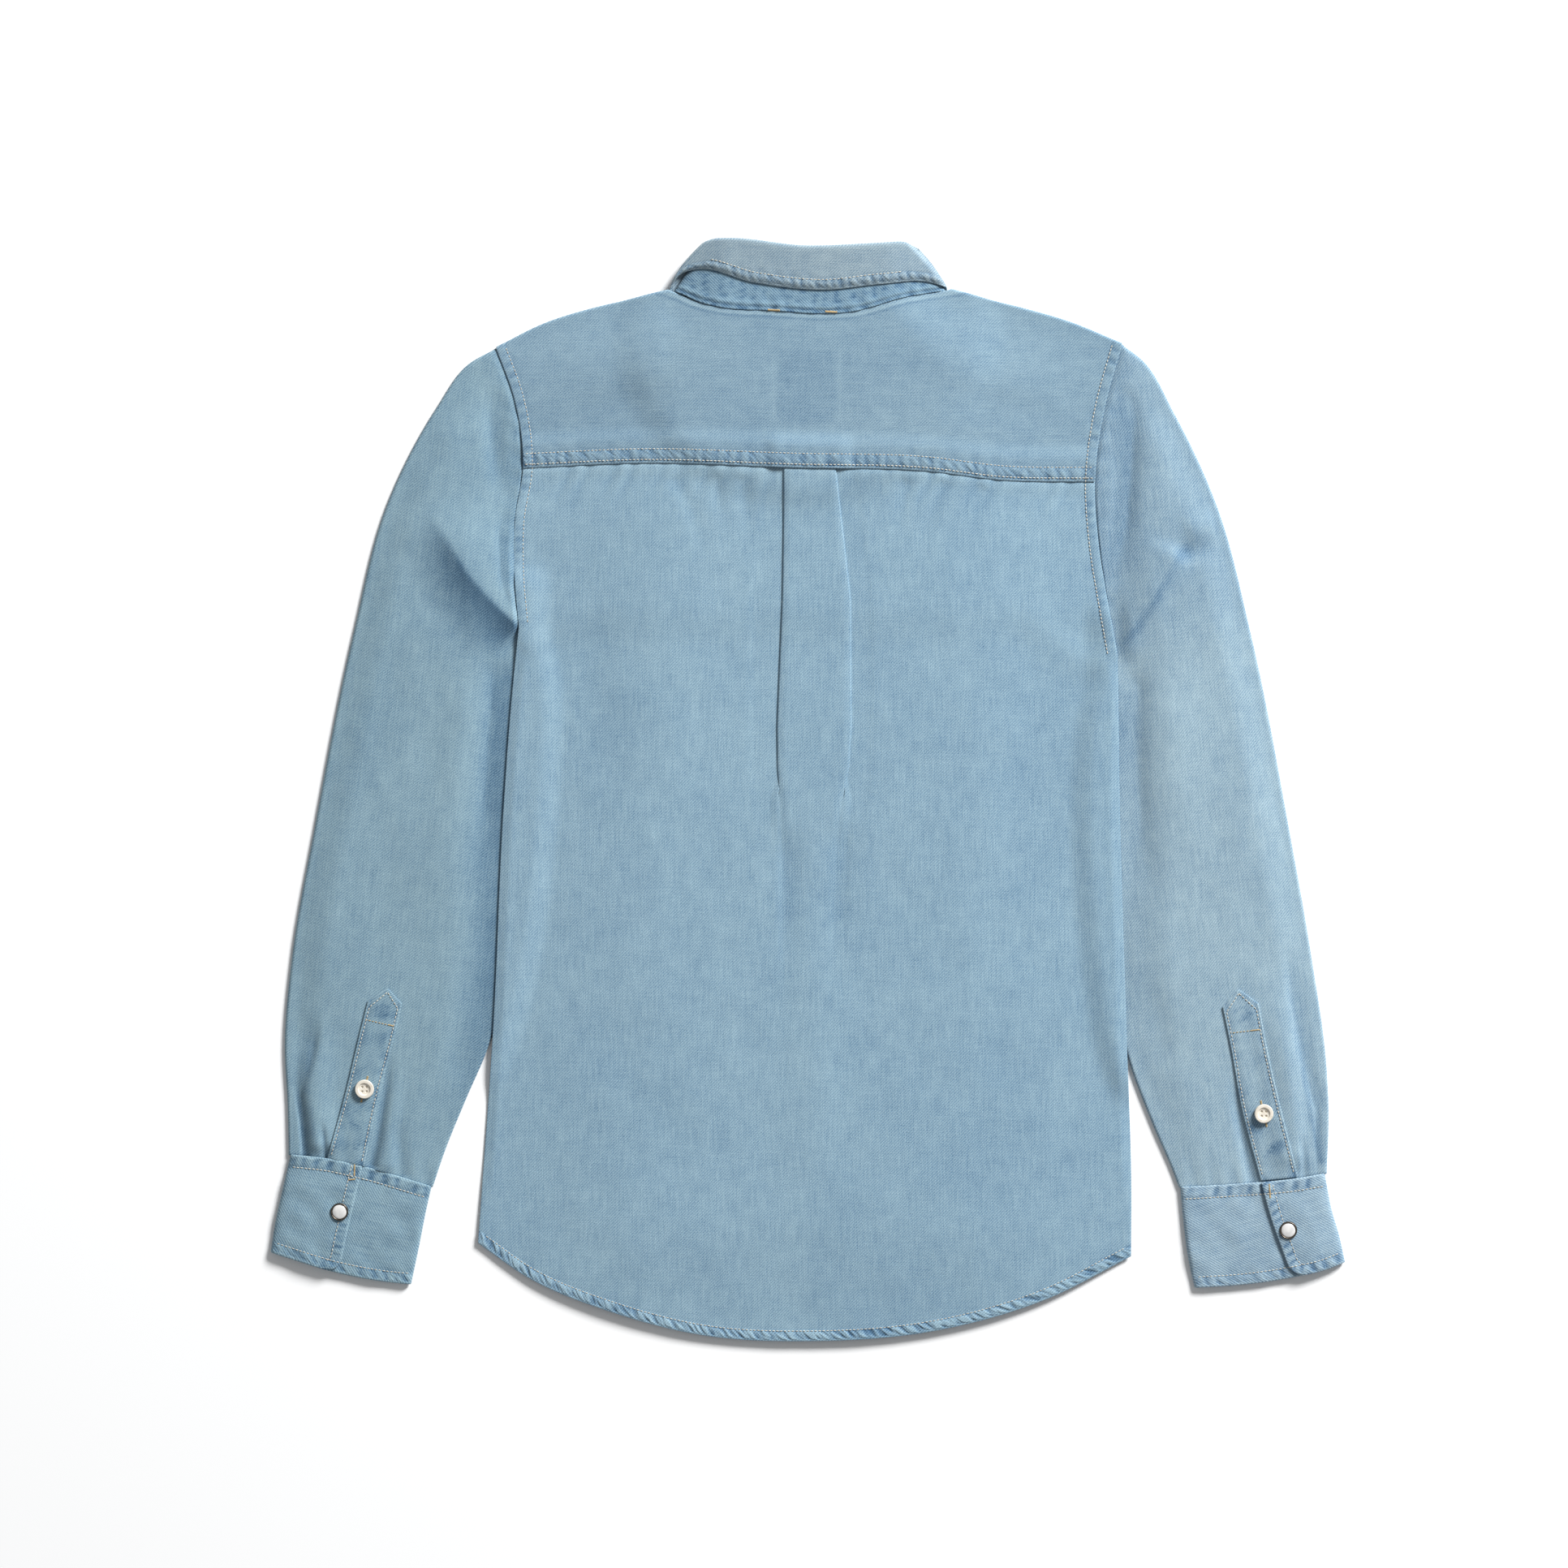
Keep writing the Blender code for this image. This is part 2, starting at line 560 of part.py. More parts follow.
def make_sleeve(side, made):
    """One sleeve as a flattened tube, from the armhole's opening to the cuff's seam."""
    sign = SIDES[side]
    armhole = joined(ARMHOLE[side]) + (sign * (CLOTH / 2 + GAP), 0.0)
    seam = joined(CUFF_SEAM[side]) + (0.0, 2 * GAP)
    outer, inner = joined(SLEEVE_OUTER[side]), joined(SLEEVE_INNER[side])
    outer[0], inner[0] = armhole[0], armhole[-1]
    outer[-1], inner[-1] = seam[0], seam[-1]
    under = np.array([0.014, 0.2, 0.4, 0.6, 0.76, 0.88, 0.986])
    over = np.array([0.986, 0.93, 0.86, 0.76, 0.65, 0.53, 0.41, 0.29, 0.17, 0.08, 0.014])
    share = np.concatenate([under, [1.0], over, [0.0]])
    down = np.array([
        0.0, 0.03, 0.07, 0.12, 0.17, 0.22, 0.27, 0.33, 0.39,
        0.46, 0.53, 0.6, 0.67, 0.74, 0.81, 0.88, 0.95, 1.0,
    ])
    u, v = np.meshgrid(share, down)
    flat = patch(armhole, seam, outer, inner, u, v)
    x, y = flat[..., 0], flat[..., 1]
    upper = sleeve_height(side, x, y)
    lower = np.full_like(x, CLOTH / 2)
    count = len(under)
    z = upper.copy()
    z[:, :count] = lower[:, :count]
    z[:, count] = (z[:, count - 1] + z[:, count + 1]) / 2
    z[:, -1] = (z[:, -2] + z[:, 0]) / 2
    grid = np.dstack([x, y, z])
    if sign < 0:
        grid = grid[:, ::-1]
    return add_grid(f"sleeve_{side}", grid, CLOTH, made, closed=True)


def make_cuff(side, made):
    """One cuff: its outer end laps over its inner end on the upper side."""
    seam, edge = joined(CUFF_SEAM[side]), joined(CUFF_EDGE[side])
    outer, inner = joined(CUFF_OUTER[side]), joined(CUFF_INNER[side])
    under = CUFF_WALL / 2
    level = 2 * CUFF_WALL + 0.1
    lapped = level + CUFF_WALL + GAP
    Section = namedtuple("Section", "share height lap")
    columns = [Section(share, lapped, 1.0) for share in (0.0, -0.06, -0.15, -0.24)]
    columns += [Section(0.16, lapped - 0.6, 0.0), Section(0.07, lapped - 1.0, 0.0)]
    columns += [Section(0.02, lapped - 1.6, 0.0), Section(0.0, (lapped + under) / 2 - 0.9, 0.0)]
    columns += [Section(0.02, under, 0.0), Section(0.1, under, 0.0)]
    columns += [Section(0.4, under, 0.0), Section(0.7, under, 0.0), Section(0.98, under, 0.0)]
    columns += [Section(1.0, (under + level) / 2, 0.0), Section(0.98, level, 0.0), Section(0.8, level, 0.0)]
    columns += [Section(0.12, level, 1.0), Section(0.0, level, 1.0), Section(-CUFF_UNDERLAP / 2, level, 1.0)]
    columns += [Section(-CUFF_UNDERLAP, level, 1.0)]
    start, end = CUFF_LAP[side]
    grid = []
    for down in (0.0, 0.12, 0.4, 0.7, 0.9, 1.0):
        lap = start + (end - start) * down
        shares = np.array([column.share + lap * column.lap for column in columns])
        flat = patch(seam, edge, outer, inner, shares, down)
        grid.append(np.column_stack([flat, [column.height for column in columns]]))
    grid = np.array(grid)
    if side == "right":
        grid = grid[:, ::-1]
    return add_grid(f"cuff_{side}", grid, CUFF_WALL, made)


def make_placket(side, made):
    """The strip over the sleeve's slit, pointed at its upper end."""
    shape = PLACKET[side]
    outer, inner = joined(shape["outer"]), joined(shape["inner"])
    across = np.array([0.0, 0.5, 1.0])
    point_x = (shape["tip"].across - outer[0, 0]) / (inner[0, 0] - outer[0, 0])
    grid = []
    for down in (0.0, 0.2, 0.4, 0.6, 0.8, 0.985):
        a, b = along(outer, [down])[0], along(inner, [down])[0]
        row = [a + (b - a) * share for share in across]
        if down == 0.0:
            row[1] = np.array([a[0] + (b[0] - a[0]) * point_x, shape["tip"].up])
        grid.append(row)
    flat = np.array(grid)
    z = sleeve_height(side, flat[..., 0], flat[..., 1]) + CLOTH / 2 + PLACKET_WALL / 2 + 2 * GAP
    grid = np.dstack([flat, z])
    if side == "right":
        grid = grid[:, ::-1]
    return add_grid(f"sleeve_placket_{side}", grid, PLACKET_WALL, made)


def collar_columns(back_low, back_high, front_low, front_high, back_count, front_count):
    """Pairs of edge points round the collar, from its front left end over the back to its front right."""
    shares = np.linspace(0.04, 0.96, back_count)
    fronts = np.linspace(0.03, 1.0, front_count)
    left = np.stack([along(front_low["left"], fronts), along(front_high["left"], fronts)], axis=1)[::-1]
    right = np.stack([along(front_low["right"], fronts), along(front_high["right"], fronts)], axis=1)
    ends = np.stack([along(back_low, [0.0, 1.0]), along(back_high, [0.0, 1.0])], axis=1)
    behind = np.stack([along(back_low, shares), along(back_high, shares)], axis=1)
    return np.concatenate([left, ends[:1], behind, ends[1:], right])


def collar_back_height(x, y):
    """The middle of the stand's wall behind the neck: on the yoke's level, and higher towards its fold."""
    seam, fold = joined(BACK_NECK), joined(COLLAR_FOLD)
    low = np.interp(x, seam[:, 0], seam[:, 1])
    share = np.clip((y - low) / (np.interp(x, fold[:, 0], fold[:, 1]) - low), 0.0, 1.0)
    level = COLLAR_UNDER_FRONT + STAND_WALL / 2 + STAND_WALL + 2 * GAP
    return np.maximum(back_height(x, low), level) + COLLAR_LOFT * share * ease((78.0 - np.abs(x)) / 60.0)


def make_stand(made):
    """The collar stand: a flattened ring that stands on the neck seam and laps at the front."""
    seam = joined(BACK_NECK) * (0.965, 1.0) + (0.0, CLOTH)
    fold = joined(COLLAR_FOLD[2:7]) * (0.955, 1.0) - (0.0, LEAF_WALL + STAND_WALL)
    low, high = {}, {}
    for side, sign in SIDES.items():
        neck = joined(FRONT_NECK[side]) * (0.97, 1.0) + (0.0, 1.3)
        low[side] = np.concatenate([[seam[0] if side == "left" else seam[-1]], neck[1:]])
        top = joined(COLLAR_FRONT_FOLD)
        top = np.column_stack([-sign * top[:, 0] * 1.05, top[:, 1] - 3.6])
        end = (-sign * FRONT_LAP, top[-1, 1] + 0.6)
        high[side] = np.concatenate([[fold[0] if side == "left" else fold[-1]], top[1:], [end]])
    columns = collar_columns(seam, fold, low, high, 9, 8)
    count = len(columns)
    outer = COLLAR_UNDER_FRONT + STAND_WALL / 2
    inner = outer + STAND_WALL + 2 * GAP
    level = np.full(count, inner)
    level[:8] = outer
    level[-8:] = outer
    level[8], level[-9] = (outer + inner) / 2, (outer + inner) / 2
    grid = []
    for share in (0.0, 0.35, 0.7, 1.0):
        flat = columns[:, 0] * (1 - share) + columns[:, 1] * share
        rise = np.zeros(count)
        rise[9:-9] = collar_back_height(flat[9:-9, 0], flat[9:-9, 1]) - inner
        over_snap = ease((42.0 - np.abs(flat[:, 0])) / 22.0) * (level < inner)
        lap = (SNAP_HEIGHT + GAP - COLLAR_UNDER_FRONT) * over_snap
        lap[-8:] += (STAND_WALL + GAP) * ease((FRONT_LAP + 16.0 - flat[-8:, 0]) / 12.0)
        grid.append(np.column_stack([flat, level + rise + lap]))
    return add_grid("collar_stand", np.array(grid), STAND_WALL, made)


def make_leaf(made):
    """The collar leaf: folded down over the stand at the back, its points under the fronts."""
    edge, fold = joined(LEAF_EDGE), joined(COLLAR_FOLD[2:7])
    low, high = {}, {}
    for side, sign in SIDES.items():
        bottom, top = joined(COLLAR_FRONT_EDGE), joined(COLLAR_FRONT_FOLD)
        low[side] = np.column_stack([-sign * bottom[:, 0], bottom[:, 1]])
        high[side] = np.column_stack([-sign * top[:, 0], top[:, 1]])
    columns = collar_columns(edge, fold, low, high, 11, 7)
    count = len(columns)
    middle = COLLAR_UNDER_FRONT + STAND_WALL + GAP
    under = LEAF_WALL / 2
    over = 2 * middle - under + 0.3
    level = np.full(count, over)
    level[:7] = under
    level[-7:] = under
    level[7], level[-8] = middle, middle
    grid = []
    for share, curl in ((0.0, 0.0), (0.3, 0.0), (0.65, 0.0), (0.93, 0.0), (1.0, 0.8), (0.985, 1.7)):
        flat = columns[:, 0] * (1 - share) + columns[:, 1] * share
        rise = np.zeros(count)
        stand = collar_back_height(flat[8:-8, 0], flat[8:-8, 1])
        rise[8:-8] = np.maximum(stand + (STAND_WALL + LEAF_WALL) / 2 + 2 * GAP - over, 0.0)
        inward = np.sign(middle - level) * curl
        grid.append(np.column_stack([flat, level + rise + inward]))
    return add_grid("collar_leaf", np.array(grid), LEAF_WALL, made)


def top_of(*names):
    """The highest point of the named pieces' walls above a place, read from their finished meshes."""
    graph = bpy.context.evaluated_depsgraph_get()
    items = [bpy.data.objects[name].evaluated_get(graph) for name in names]

    def height(x, y):
        best = 0.0
        for item in items:
            hit, place, _, _ = item.ray_cast((x * MM, y * MM, 0.1), (0.0, 0.0, -1.0))
            if hit:
                best = max(best, place.z / MM)
        return best

    return height


def seat(height, place, radius):
    """The lowest level at which a round piece clears what lies under it."""
    angles = [2 * pi * step / 12 for step in range(12)]
    around = [height(place.across + radius * cos(a), place.up + radius * sin(a)) for a in angles]
    return max(around + [height(*place)]) + GAP


def add_snap(name, place, level, rim, pearl, flip=False):
    """A pearl snap's cap: a metal rim round a domed pearl."""
    inner = SNAP_RADIUS - SNAP_RIM
    ring = (
        (inner, 0.2), (inner, 1.3), (inner + 0.4, SNAP_HEIGHT - 0.3), (SNAP_RADIUS - 0.3, SNAP_HEIGHT - 0.5),
        (SNAP_RADIUS, 0.9), (SNAP_RADIUS - 0.2, 0.0), (inner + 0.3, 0.0),
    )
    bead = inner - GAP
    dome = (
        (0.0, 0.0), (bead, 0.0), (bead, 1.0),
        (bead - 0.5, 1.5), (bead * 0.5, SNAP_HEIGHT - 0.1), (0.0, SNAP_HEIGHT),
    )
    add_turned(f"{name}_rim", ring, 16, rim, (*place, level), flip)
    add_turned(f"{name}_pearl", dome, 16, pearl, (*place, level), flip)


def make_button(name, place, level, made):
    """A four-hole button with a raised edge."""
    edge = BUTTON_RADIUS
    profile = (
        (0.0, 0.0), (edge - 1.0, 0.0), (edge, 0.8), (edge, 1.7), (edge - 0.6, BUTTON_HEIGHT),
        (edge - 1.4, BUTTON_HEIGHT), (edge - 2.4, BUTTON_HEIGHT - 0.7), (0.0, BUTTON_HEIGHT - 0.8),
    )
    item = add_turned(name, profile, 20, made, (*place, level))
    drill = bmesh.new()
    for across in (-1.0, 1.0):
        for up in (-1.0, 1.0):
            spot = Matrix.Translation((across * BUTTON_HOLE_SPREAD * MM, up * BUTTON_HOLE_SPREAD * MM, MM))
            bmesh.ops.create_cone(
                drill, cap_ends=True, segments=8, radius1=BUTTON_HOLE * MM, radius2=BUTTON_HOLE * MM,
                depth=8.0 * MM, matrix=spot,
            )
    mesh = bpy.data.meshes.new(f"{name}_drill")
    drill.to_mesh(mesh)
    drill.free()
    cutter = bpy.data.objects.new(f"{name}_drill", mesh)
    cutter.location = item.location
    cutter.hide_render = True
    cutter.display_type = "WIRE"
    bpy.context.scene.collection.objects.link(cutter)
    holes = item.modifiers.new("holes", "BOOLEAN")
    holes.operation = "DIFFERENCE"
    holes.object = cutter


def main():
    for item in list(bpy.data.objects):
        bpy.data.objects.remove(item)
    denim = material("denim", (0.27, 0.39, 0.48), 0.9)
    metal = material("snap_metal", (0.12, 0.10, 0.08), 0.4, 1.0)
    pearl = material("pearl", (0.69, 0.68, 0.67), 0.25)
    horn = material("button", (0.66, 0.6, 0.51), 0.35)
    make_front("left", denim)
    make_front("right", denim)
    make_back(denim)
    make_yoke(denim)
    make_stand(denim)
    make_leaf(denim)
    for side in SIDES:
        make_sleeve(side, denim)
        make_cuff(side, denim)
        make_placket(side, denim)
    bpy.context.view_layer.update()
    for side in SIDES:
        level = seat(top_of(f"cuff_{side}"), CUFF_SNAP[side], SNAP_RADIUS)
        add_snap(f"cuff_snap_{side}", CUFF_SNAP[side], level, metal, pearl)
        level = seat(top_of(f"sleeve_placket_{side}"), PLACKET_BUTTON[side], BUTTON_RADIUS)
        make_button(f"placket_button_{side}", PLACKET_BUTTON[side], level, horn)
    for number, up in enumerate(FRONT_SNAPS, start=1):
        add_snap(f"front_snap_{number}", Point(0.0, up), SNAP_HEIGHT, metal, pearl, flip=True)
    add_snap("stand_snap", Point(0.0, STAND_SNAP), SNAP_HEIGHT, metal, pearl, flip=True)


main()
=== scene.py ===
"""The looks of a denim shirt that lies flat, back side up: fine cloth shells, stitches and hardware.

Lengths are in millimetres here and are turned into metres when a mesh is made. X runs across the
shirt, Y from the hem to the collar and Z up; the wearer's left is at -X.
"""

from collections import namedtuple
from math import cos, pi, radians, sin

import bpy
import numpy as np
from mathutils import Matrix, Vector
from mathutils.bvhtree import BVHTree


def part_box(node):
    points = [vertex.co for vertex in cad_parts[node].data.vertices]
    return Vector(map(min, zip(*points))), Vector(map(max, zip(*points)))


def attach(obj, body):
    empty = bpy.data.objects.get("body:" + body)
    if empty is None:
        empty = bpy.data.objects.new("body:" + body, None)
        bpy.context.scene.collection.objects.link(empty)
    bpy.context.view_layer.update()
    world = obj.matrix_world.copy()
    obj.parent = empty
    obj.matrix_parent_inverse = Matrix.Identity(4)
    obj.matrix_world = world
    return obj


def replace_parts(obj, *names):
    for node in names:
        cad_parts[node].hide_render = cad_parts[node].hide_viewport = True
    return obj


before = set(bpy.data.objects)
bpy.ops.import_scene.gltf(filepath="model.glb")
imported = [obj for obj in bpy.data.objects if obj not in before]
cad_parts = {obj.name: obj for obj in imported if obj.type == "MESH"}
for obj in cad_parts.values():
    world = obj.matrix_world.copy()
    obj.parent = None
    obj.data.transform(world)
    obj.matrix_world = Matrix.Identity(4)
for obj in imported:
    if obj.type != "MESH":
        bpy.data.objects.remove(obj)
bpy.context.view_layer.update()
BODY = "root"
MM = 0.001

# ---------------------------------------------------------------- sizes, as in the CAD model
CLOTH = 1.0
STAND_WALL = 1.2
LEAF_WALL = 1.4
CUFF_WALL = 1.5
PLACKET_WALL = 1.1
GAP = 0.3
PLY = CLOTH + GAP
SLEEVE_FLAT = 2.1
SLEEVE_UNDER_BODY = 2.9
COLLAR_UNDER_FRONT = LEAF_WALL + GAP
SNAP_UNDER_FRONT = 2.3
ARMHOLE_LOFT = 0.9
COLLAR_LOFT = 2.2
FRONT_LAP = 15.0
FRONT_HEM_SHORTER = 7.0
YOKE_WRAP = 30.0
YOKE_LAP = 9.6
FRONT_SNAPS = (192.0, 110.0, 28.0, -54.0, -136.0, -218.0)

# Sizes that the CAD model doesn't have, or has otherwise
LAP_RISE = PLY + 0.15
BACK_LOFT = 5.0
PRESSED_EDGE = 0.6
SIDE_ROLL = 1.1

# Sewing
ROW_GAUGE = 6.6
EDGE_ROW = 2.2
SECOND_ROW = EDGE_ROW + 7.2
ARM_ROW = ROW_GAUGE - 0.6
CUFF_SEAM_ROW = 7.6
STITCH = 2.6
THREAD = 0.6

Point = namedtuple("Point", "across up")
SIDES = {"left": -1.0, "right": 1.0}


def line(*pairs):
    return [Point(*pair) for pair in pairs]


SHOULDER = {
    "left": line((-95.0, 336.6), (-138.0, 326.4), (-180.0, 313.5), (-211.0, 298.0)),
    "right": line((97.0, 337.0), (139.0, 326.0), (176.6, 315.2), (212.0, 300.6)),
}
ARMHOLE = {
    "left": line(
        (-211.0, 298.0), (-199.1, 265.0), (-192.9, 220.0), (-198.6, 181.5), (-198.6, 141.4), (-195.8, 110.0),
    ),
    "right": line(
        (212.0, 300.6), (200.8, 260.2), (193.8, 210.0), (196.5, 165.0), (202.4, 127.6), (209.0, 90.0),
    ),
}
SIDE = {
    "left": line(
        (-195.8, 110.0), (-200.2, 67.0), (-206.3, -13.8),
        (-213.1, -159.5), (-220.8, -270.0), (-223.5, -307.5),
    ),
    "right": line((209.0, 90.0), (210.7, -15.4), (215.1, -162.3), (218.6, -275.0), (218.3, -316.5)),
}
HEM = line(
    (-223.5, -307.5), (-188.9, -331.3), (-132.0, -354.5), (-70.0, -370.0),
    (2.2, -373.7), (83.6, -367.1), (161.0, -345.4), (218.3, -316.5),
)
YOKE_SEAM = line(
    (-192.9, 217.5), (-112.2, 220.7), (-8.8, 217.5), (81.4, 215.1), (130.0, 209.3), (193.8, 208.2),
)
BACK_NECK = line(
    (-95.0, 336.6), (-88.0, 334.2), (-78.0, 329.6), (-62.7, 325.5), (-25.3, 323.0),
    (12.1, 321.0), (31.9, 322.4), (45.1, 325.6), (62.7, 330.9), (97.0, 337.0),
)
FRONT_NECK = {
    "left": line(
        (-95.0, 336.6), (-88.0, 306.0), (-70.0, 283.0), (-40.0, 267.0), (0.0, 261.0), (FRONT_LAP, 261.6),
    ),
    "right": line(
        (97.0, 337.0), (89.0, 306.0), (70.0, 283.0), (40.0, 267.0), (0.0, 261.0), (-FRONT_LAP, 261.6),
    ),
}
SLEEVE_OUTER = {
    "left": line(
        (-211.0, 298.0), (-230.5, 287.0), (-250.3, 259.6), (-284.4, 193.6), (-307.5, 105.6), (-333.9, -26.4),
        (-349.3, -114.4), (-354.2, -175.0), (-352.2, -215.0), (-351.5, -247.5),
    ),
    "right": line(
        (212.0, 300.6), (226.0, 290.0), (247.0, 255.0), (275.6, 193.6), (299.2, 105.6), (325.1, -26.4),
        (340.5, -114.4), (350.4, -185.9), (352.0, -218.9), (350.7, -260.4),
    ),
}
SLEEVE_INNER = {
    "left": line(
        (-195.8, 110.0), (-188.0, 67.0), (-189.2, 12.0), (-193.1, -43.0), (-202.4, -114.4),
        (-217.0, -174.0), (-232.7, -210.7), (-247.0, -246.0), (-254.9, -269.4),
    ),
    "right": line(
        (209.0, 90.0), (209.4, 76.0), (203.5, 50.0), (199.5, 5.0), (201.0, -60.0), (206.5, -120.0),
        (216.5, -180.0), (233.8, -227.2), (247.5, -259.0), (251.5, -269.7),
    ),
}
CUFF_SEAM = {
    "left": line((-351.7, -248.2), (-326.5, -250.8), (-300.9, -256.4), (-254.9, -270.0)),
    "right": line((350.7, -261.0), (328.4, -264.7), (284.7, -268.4), (251.5, -270.3)),
}
CUFF_OUTER = {
    "left": line((-351.7, -248.2), (-357.5, -273.7), (-361.8, -293.0), (-364.9, -313.0)),
    "right": line((350.7, -261.0), (355.6, -285.8), (360.1, -300.9), (364.3, -319.5)),
}
CUFF_INNER = {
    "left": line((-254.9, -270.0), (-258.5, -286.0), (-263.2, -310.0), (-268.5, -335.0)),
    "right": line((251.5, -270.3), (253.4, -292.0), (257.5, -322.0), (261.0, -337.3)),
}
CUFF_EDGE = {
    "left": line((-364.9, -313.0), (-346.2, -319.0), (-326.5, -325.1), (-289.3, -332.8), (-268.5, -335.0)),
    "right": line((364.3, -319.5), (350.9, -324.8), (331.4, -329.5), (290.7, -335.5), (261.0, -337.3)),
}
CUFF_LAP = {"left": (0.50, 0.49), "right": (0.44, 0.36)}
CUFF_UNDERLAP = 0.24
COLLAR_FOLD = line(
    (-94.6, 339.2), (-86.4, 357.0), (-73.3, 371.8), (-49.1, 371.9), (-3.5, 366.9),
    (40.0, 368.3), (70.2, 370.3), (82.0, 357.5), (95.6, 339.2),
)
LEAF_EDGE = line(
    (-94.6, 339.2), (-86.1, 348.8), (-76.8, 351.6), (-36.9, 342.7),
    (9.8, 337.7), (49.8, 341.7), (80.0, 343.4), (95.6, 339.2),
)
COLLAR_FRONT_FOLD = line((-75.0, 371.0), (-66.0, 331.0), (-44.0, 305.0), (-14.0, 293.0))
COLLAR_FRONT_EDGE = line((-94.6, 339.2), (-91.0, 296.0), (-75.0, 253.0), (-52.0, 226.0))
PLACKET = {
    "left": {
        "outer": line((-297.9, -144.1), (-303.2, -165.2), (-313.0, -205.9), (-325.8, -252.0)),
        "inner": line((-275.7, -145.5), (-281.3, -169.7), (-290.4, -204.4), (-301.7, -257.0)),
        "tip": Point(-284.8, -135.4),
    },
    "right": {
        "outer": line((304.3, -145.5), (310.3, -177.2), (319.3, -216.4), (331.4, -264.2)),
        "inner": line((280.9, -147.8), (286.9, -177.1), (293.0, -211.9), (307.2, -266.6)),
        "tip": Point(291.4, -136.2),
    },
}
Pleat = namedtuple("Pleat", "up left right overhang rise")
BOX_PLEAT = (
    Pleat(225.0, -16.5, 17.0, 1.0, 1.0),
    Pleat(178.8, -16.3, 22.5, 1.0, 1.0),
    Pleat(127.6, -16.8, 28.3, 1.0, 1.0),
    Pleat(41.3, -19.8, 28.9, 1.0, 1.0),
    Pleat(15.0, -20.6, 28.6, 0.6, 1.0),
    Pleat(-8.0, -20.2, 25.0, 0.0, 0.9),
    Pleat(-35.0, -19.0, 22.0, 0.0, 0.45),
    Pleat(-90.0, -18.5, 20.0, 0.0, 0.22),
    Pleat(-155.0, -16.0, 18.0, 0.0, 0.0),
    Pleat(-380.0, -16.0, 18.0, 0.0, 0.0),
)
PLEAT_DEPTH = 9.0
PLEAT_PLY = 0.66
Fold = namedtuple("Fold", "under plies flat")
PLEAT_FOLD = (
    Fold(-0.35, 0.0, -7.5),
    Fold(0.3, 0.0, -6.2),
    Fold(0.93, 0.0, -5.0),
    Fold(1.0, 0.5, -2.5),
    Fold(0.93, 1.0, 0.0),
    Fold(0.5, 1.0, 1.0),
    Fold(0.07, 1.0, 2.0),
    Fold(0.0, 1.5, 4.0),
    Fold(0.07, 2.0, 6.0),
)
SLEEVE_PUFF = line(
    (300.0, 0.0), (240.0, 2.2), (150.0, 3.6), (0.0, 3.6), (-150.0, 3.0), (-230.0, 1.8), (-270.0, 1.0),
)


# ---------------------------------------------------------------- curves and fields
def bell(value, middle, width):
    """1 at the middle, falling off to both sides."""
    return np.exp(-(((value - middle) / width) ** 2))


def ease(value):
    """0 below 0, 1 above 1 and a smooth step between."""
    value = np.clip(value, 0.0, 1.0)
    return value * value * (3.0 - 2.0 * value)


def chain_length(chain):
    return float(np.linalg.norm(np.diff(chain, axis=0), axis=1).sum())


def along(chain, shares):
    """Points at shares of the length of a chain."""
    length = np.concatenate([[0.0], np.cumsum(np.linalg.norm(np.diff(chain, axis=0), axis=1))])
    wanted = np.asarray(shares, float) * length[-1]
    return np.stack([np.interp(wanted, length, chain[:, axis]) for axis in range(chain.shape[1])], axis=-1)


def smooth(points, count=160):
    """Evenly spaced points of the smooth curve through the given ones."""
    points = np.array(points, float)
    chord = np.concatenate([[0.0], np.cumsum(np.linalg.norm(np.diff(points, axis=0), axis=1))])
    slope = np.gradient(points, chord, axis=0)
    fine = []
    for start in range(len(points) - 1):
        span = chord[start + 1] - chord[start]
        step = np.linspace(0.0, 1.0, 40, endpoint=False)[:, None]
        keep = 2 * step**3 - 3 * step**2 + 1
        leave = step**3 - 2 * step**2 + step
        arrive = step**3 - step**2
        fine.append(
            keep * points[start] + (1 - keep) * points[start + 1]
            + span * (leave * slope[start] + arrive * slope[start + 1])
        )
    fine = np.concatenate(fine + [points[-1:]])
    return along(fine, np.linspace(0.0, 1.0, count))


def joined(*curves):
    parts = [smooth(curve) for curve in curves]
    return np.concatenate([parts[0]] + [part[1:] for part in parts[1:]])


def patch(start, end, first, last, u, v):
    """The surface inside four chains: start and end run with u, first and last run with v."""
    u = np.asarray(u, float)
    v = np.broadcast_to(np.asarray(v, float), u.shape)
    a, b, c, d = along(start, u), along(end, u), along(first, v), along(last, v)
    u, v = u[..., None], v[..., None]
    corners = (1 - u) * (1 - v) * start[0] + u * (1 - v) * start[-1] + (1 - u) * v * end[0] + u * v * end[-1]
    return (1 - v) * a + v * b + (1 - u) * c + u * d - corners


def offset_chain(chain, distance):
    """A chain moved to its left by a distance."""
    run = np.gradient(chain, axis=0)
    run /= np.linalg.norm(run, axis=1)[:, None]
    return chain + distance * np.column_stack([-run[:, 1], run[:, 0]])


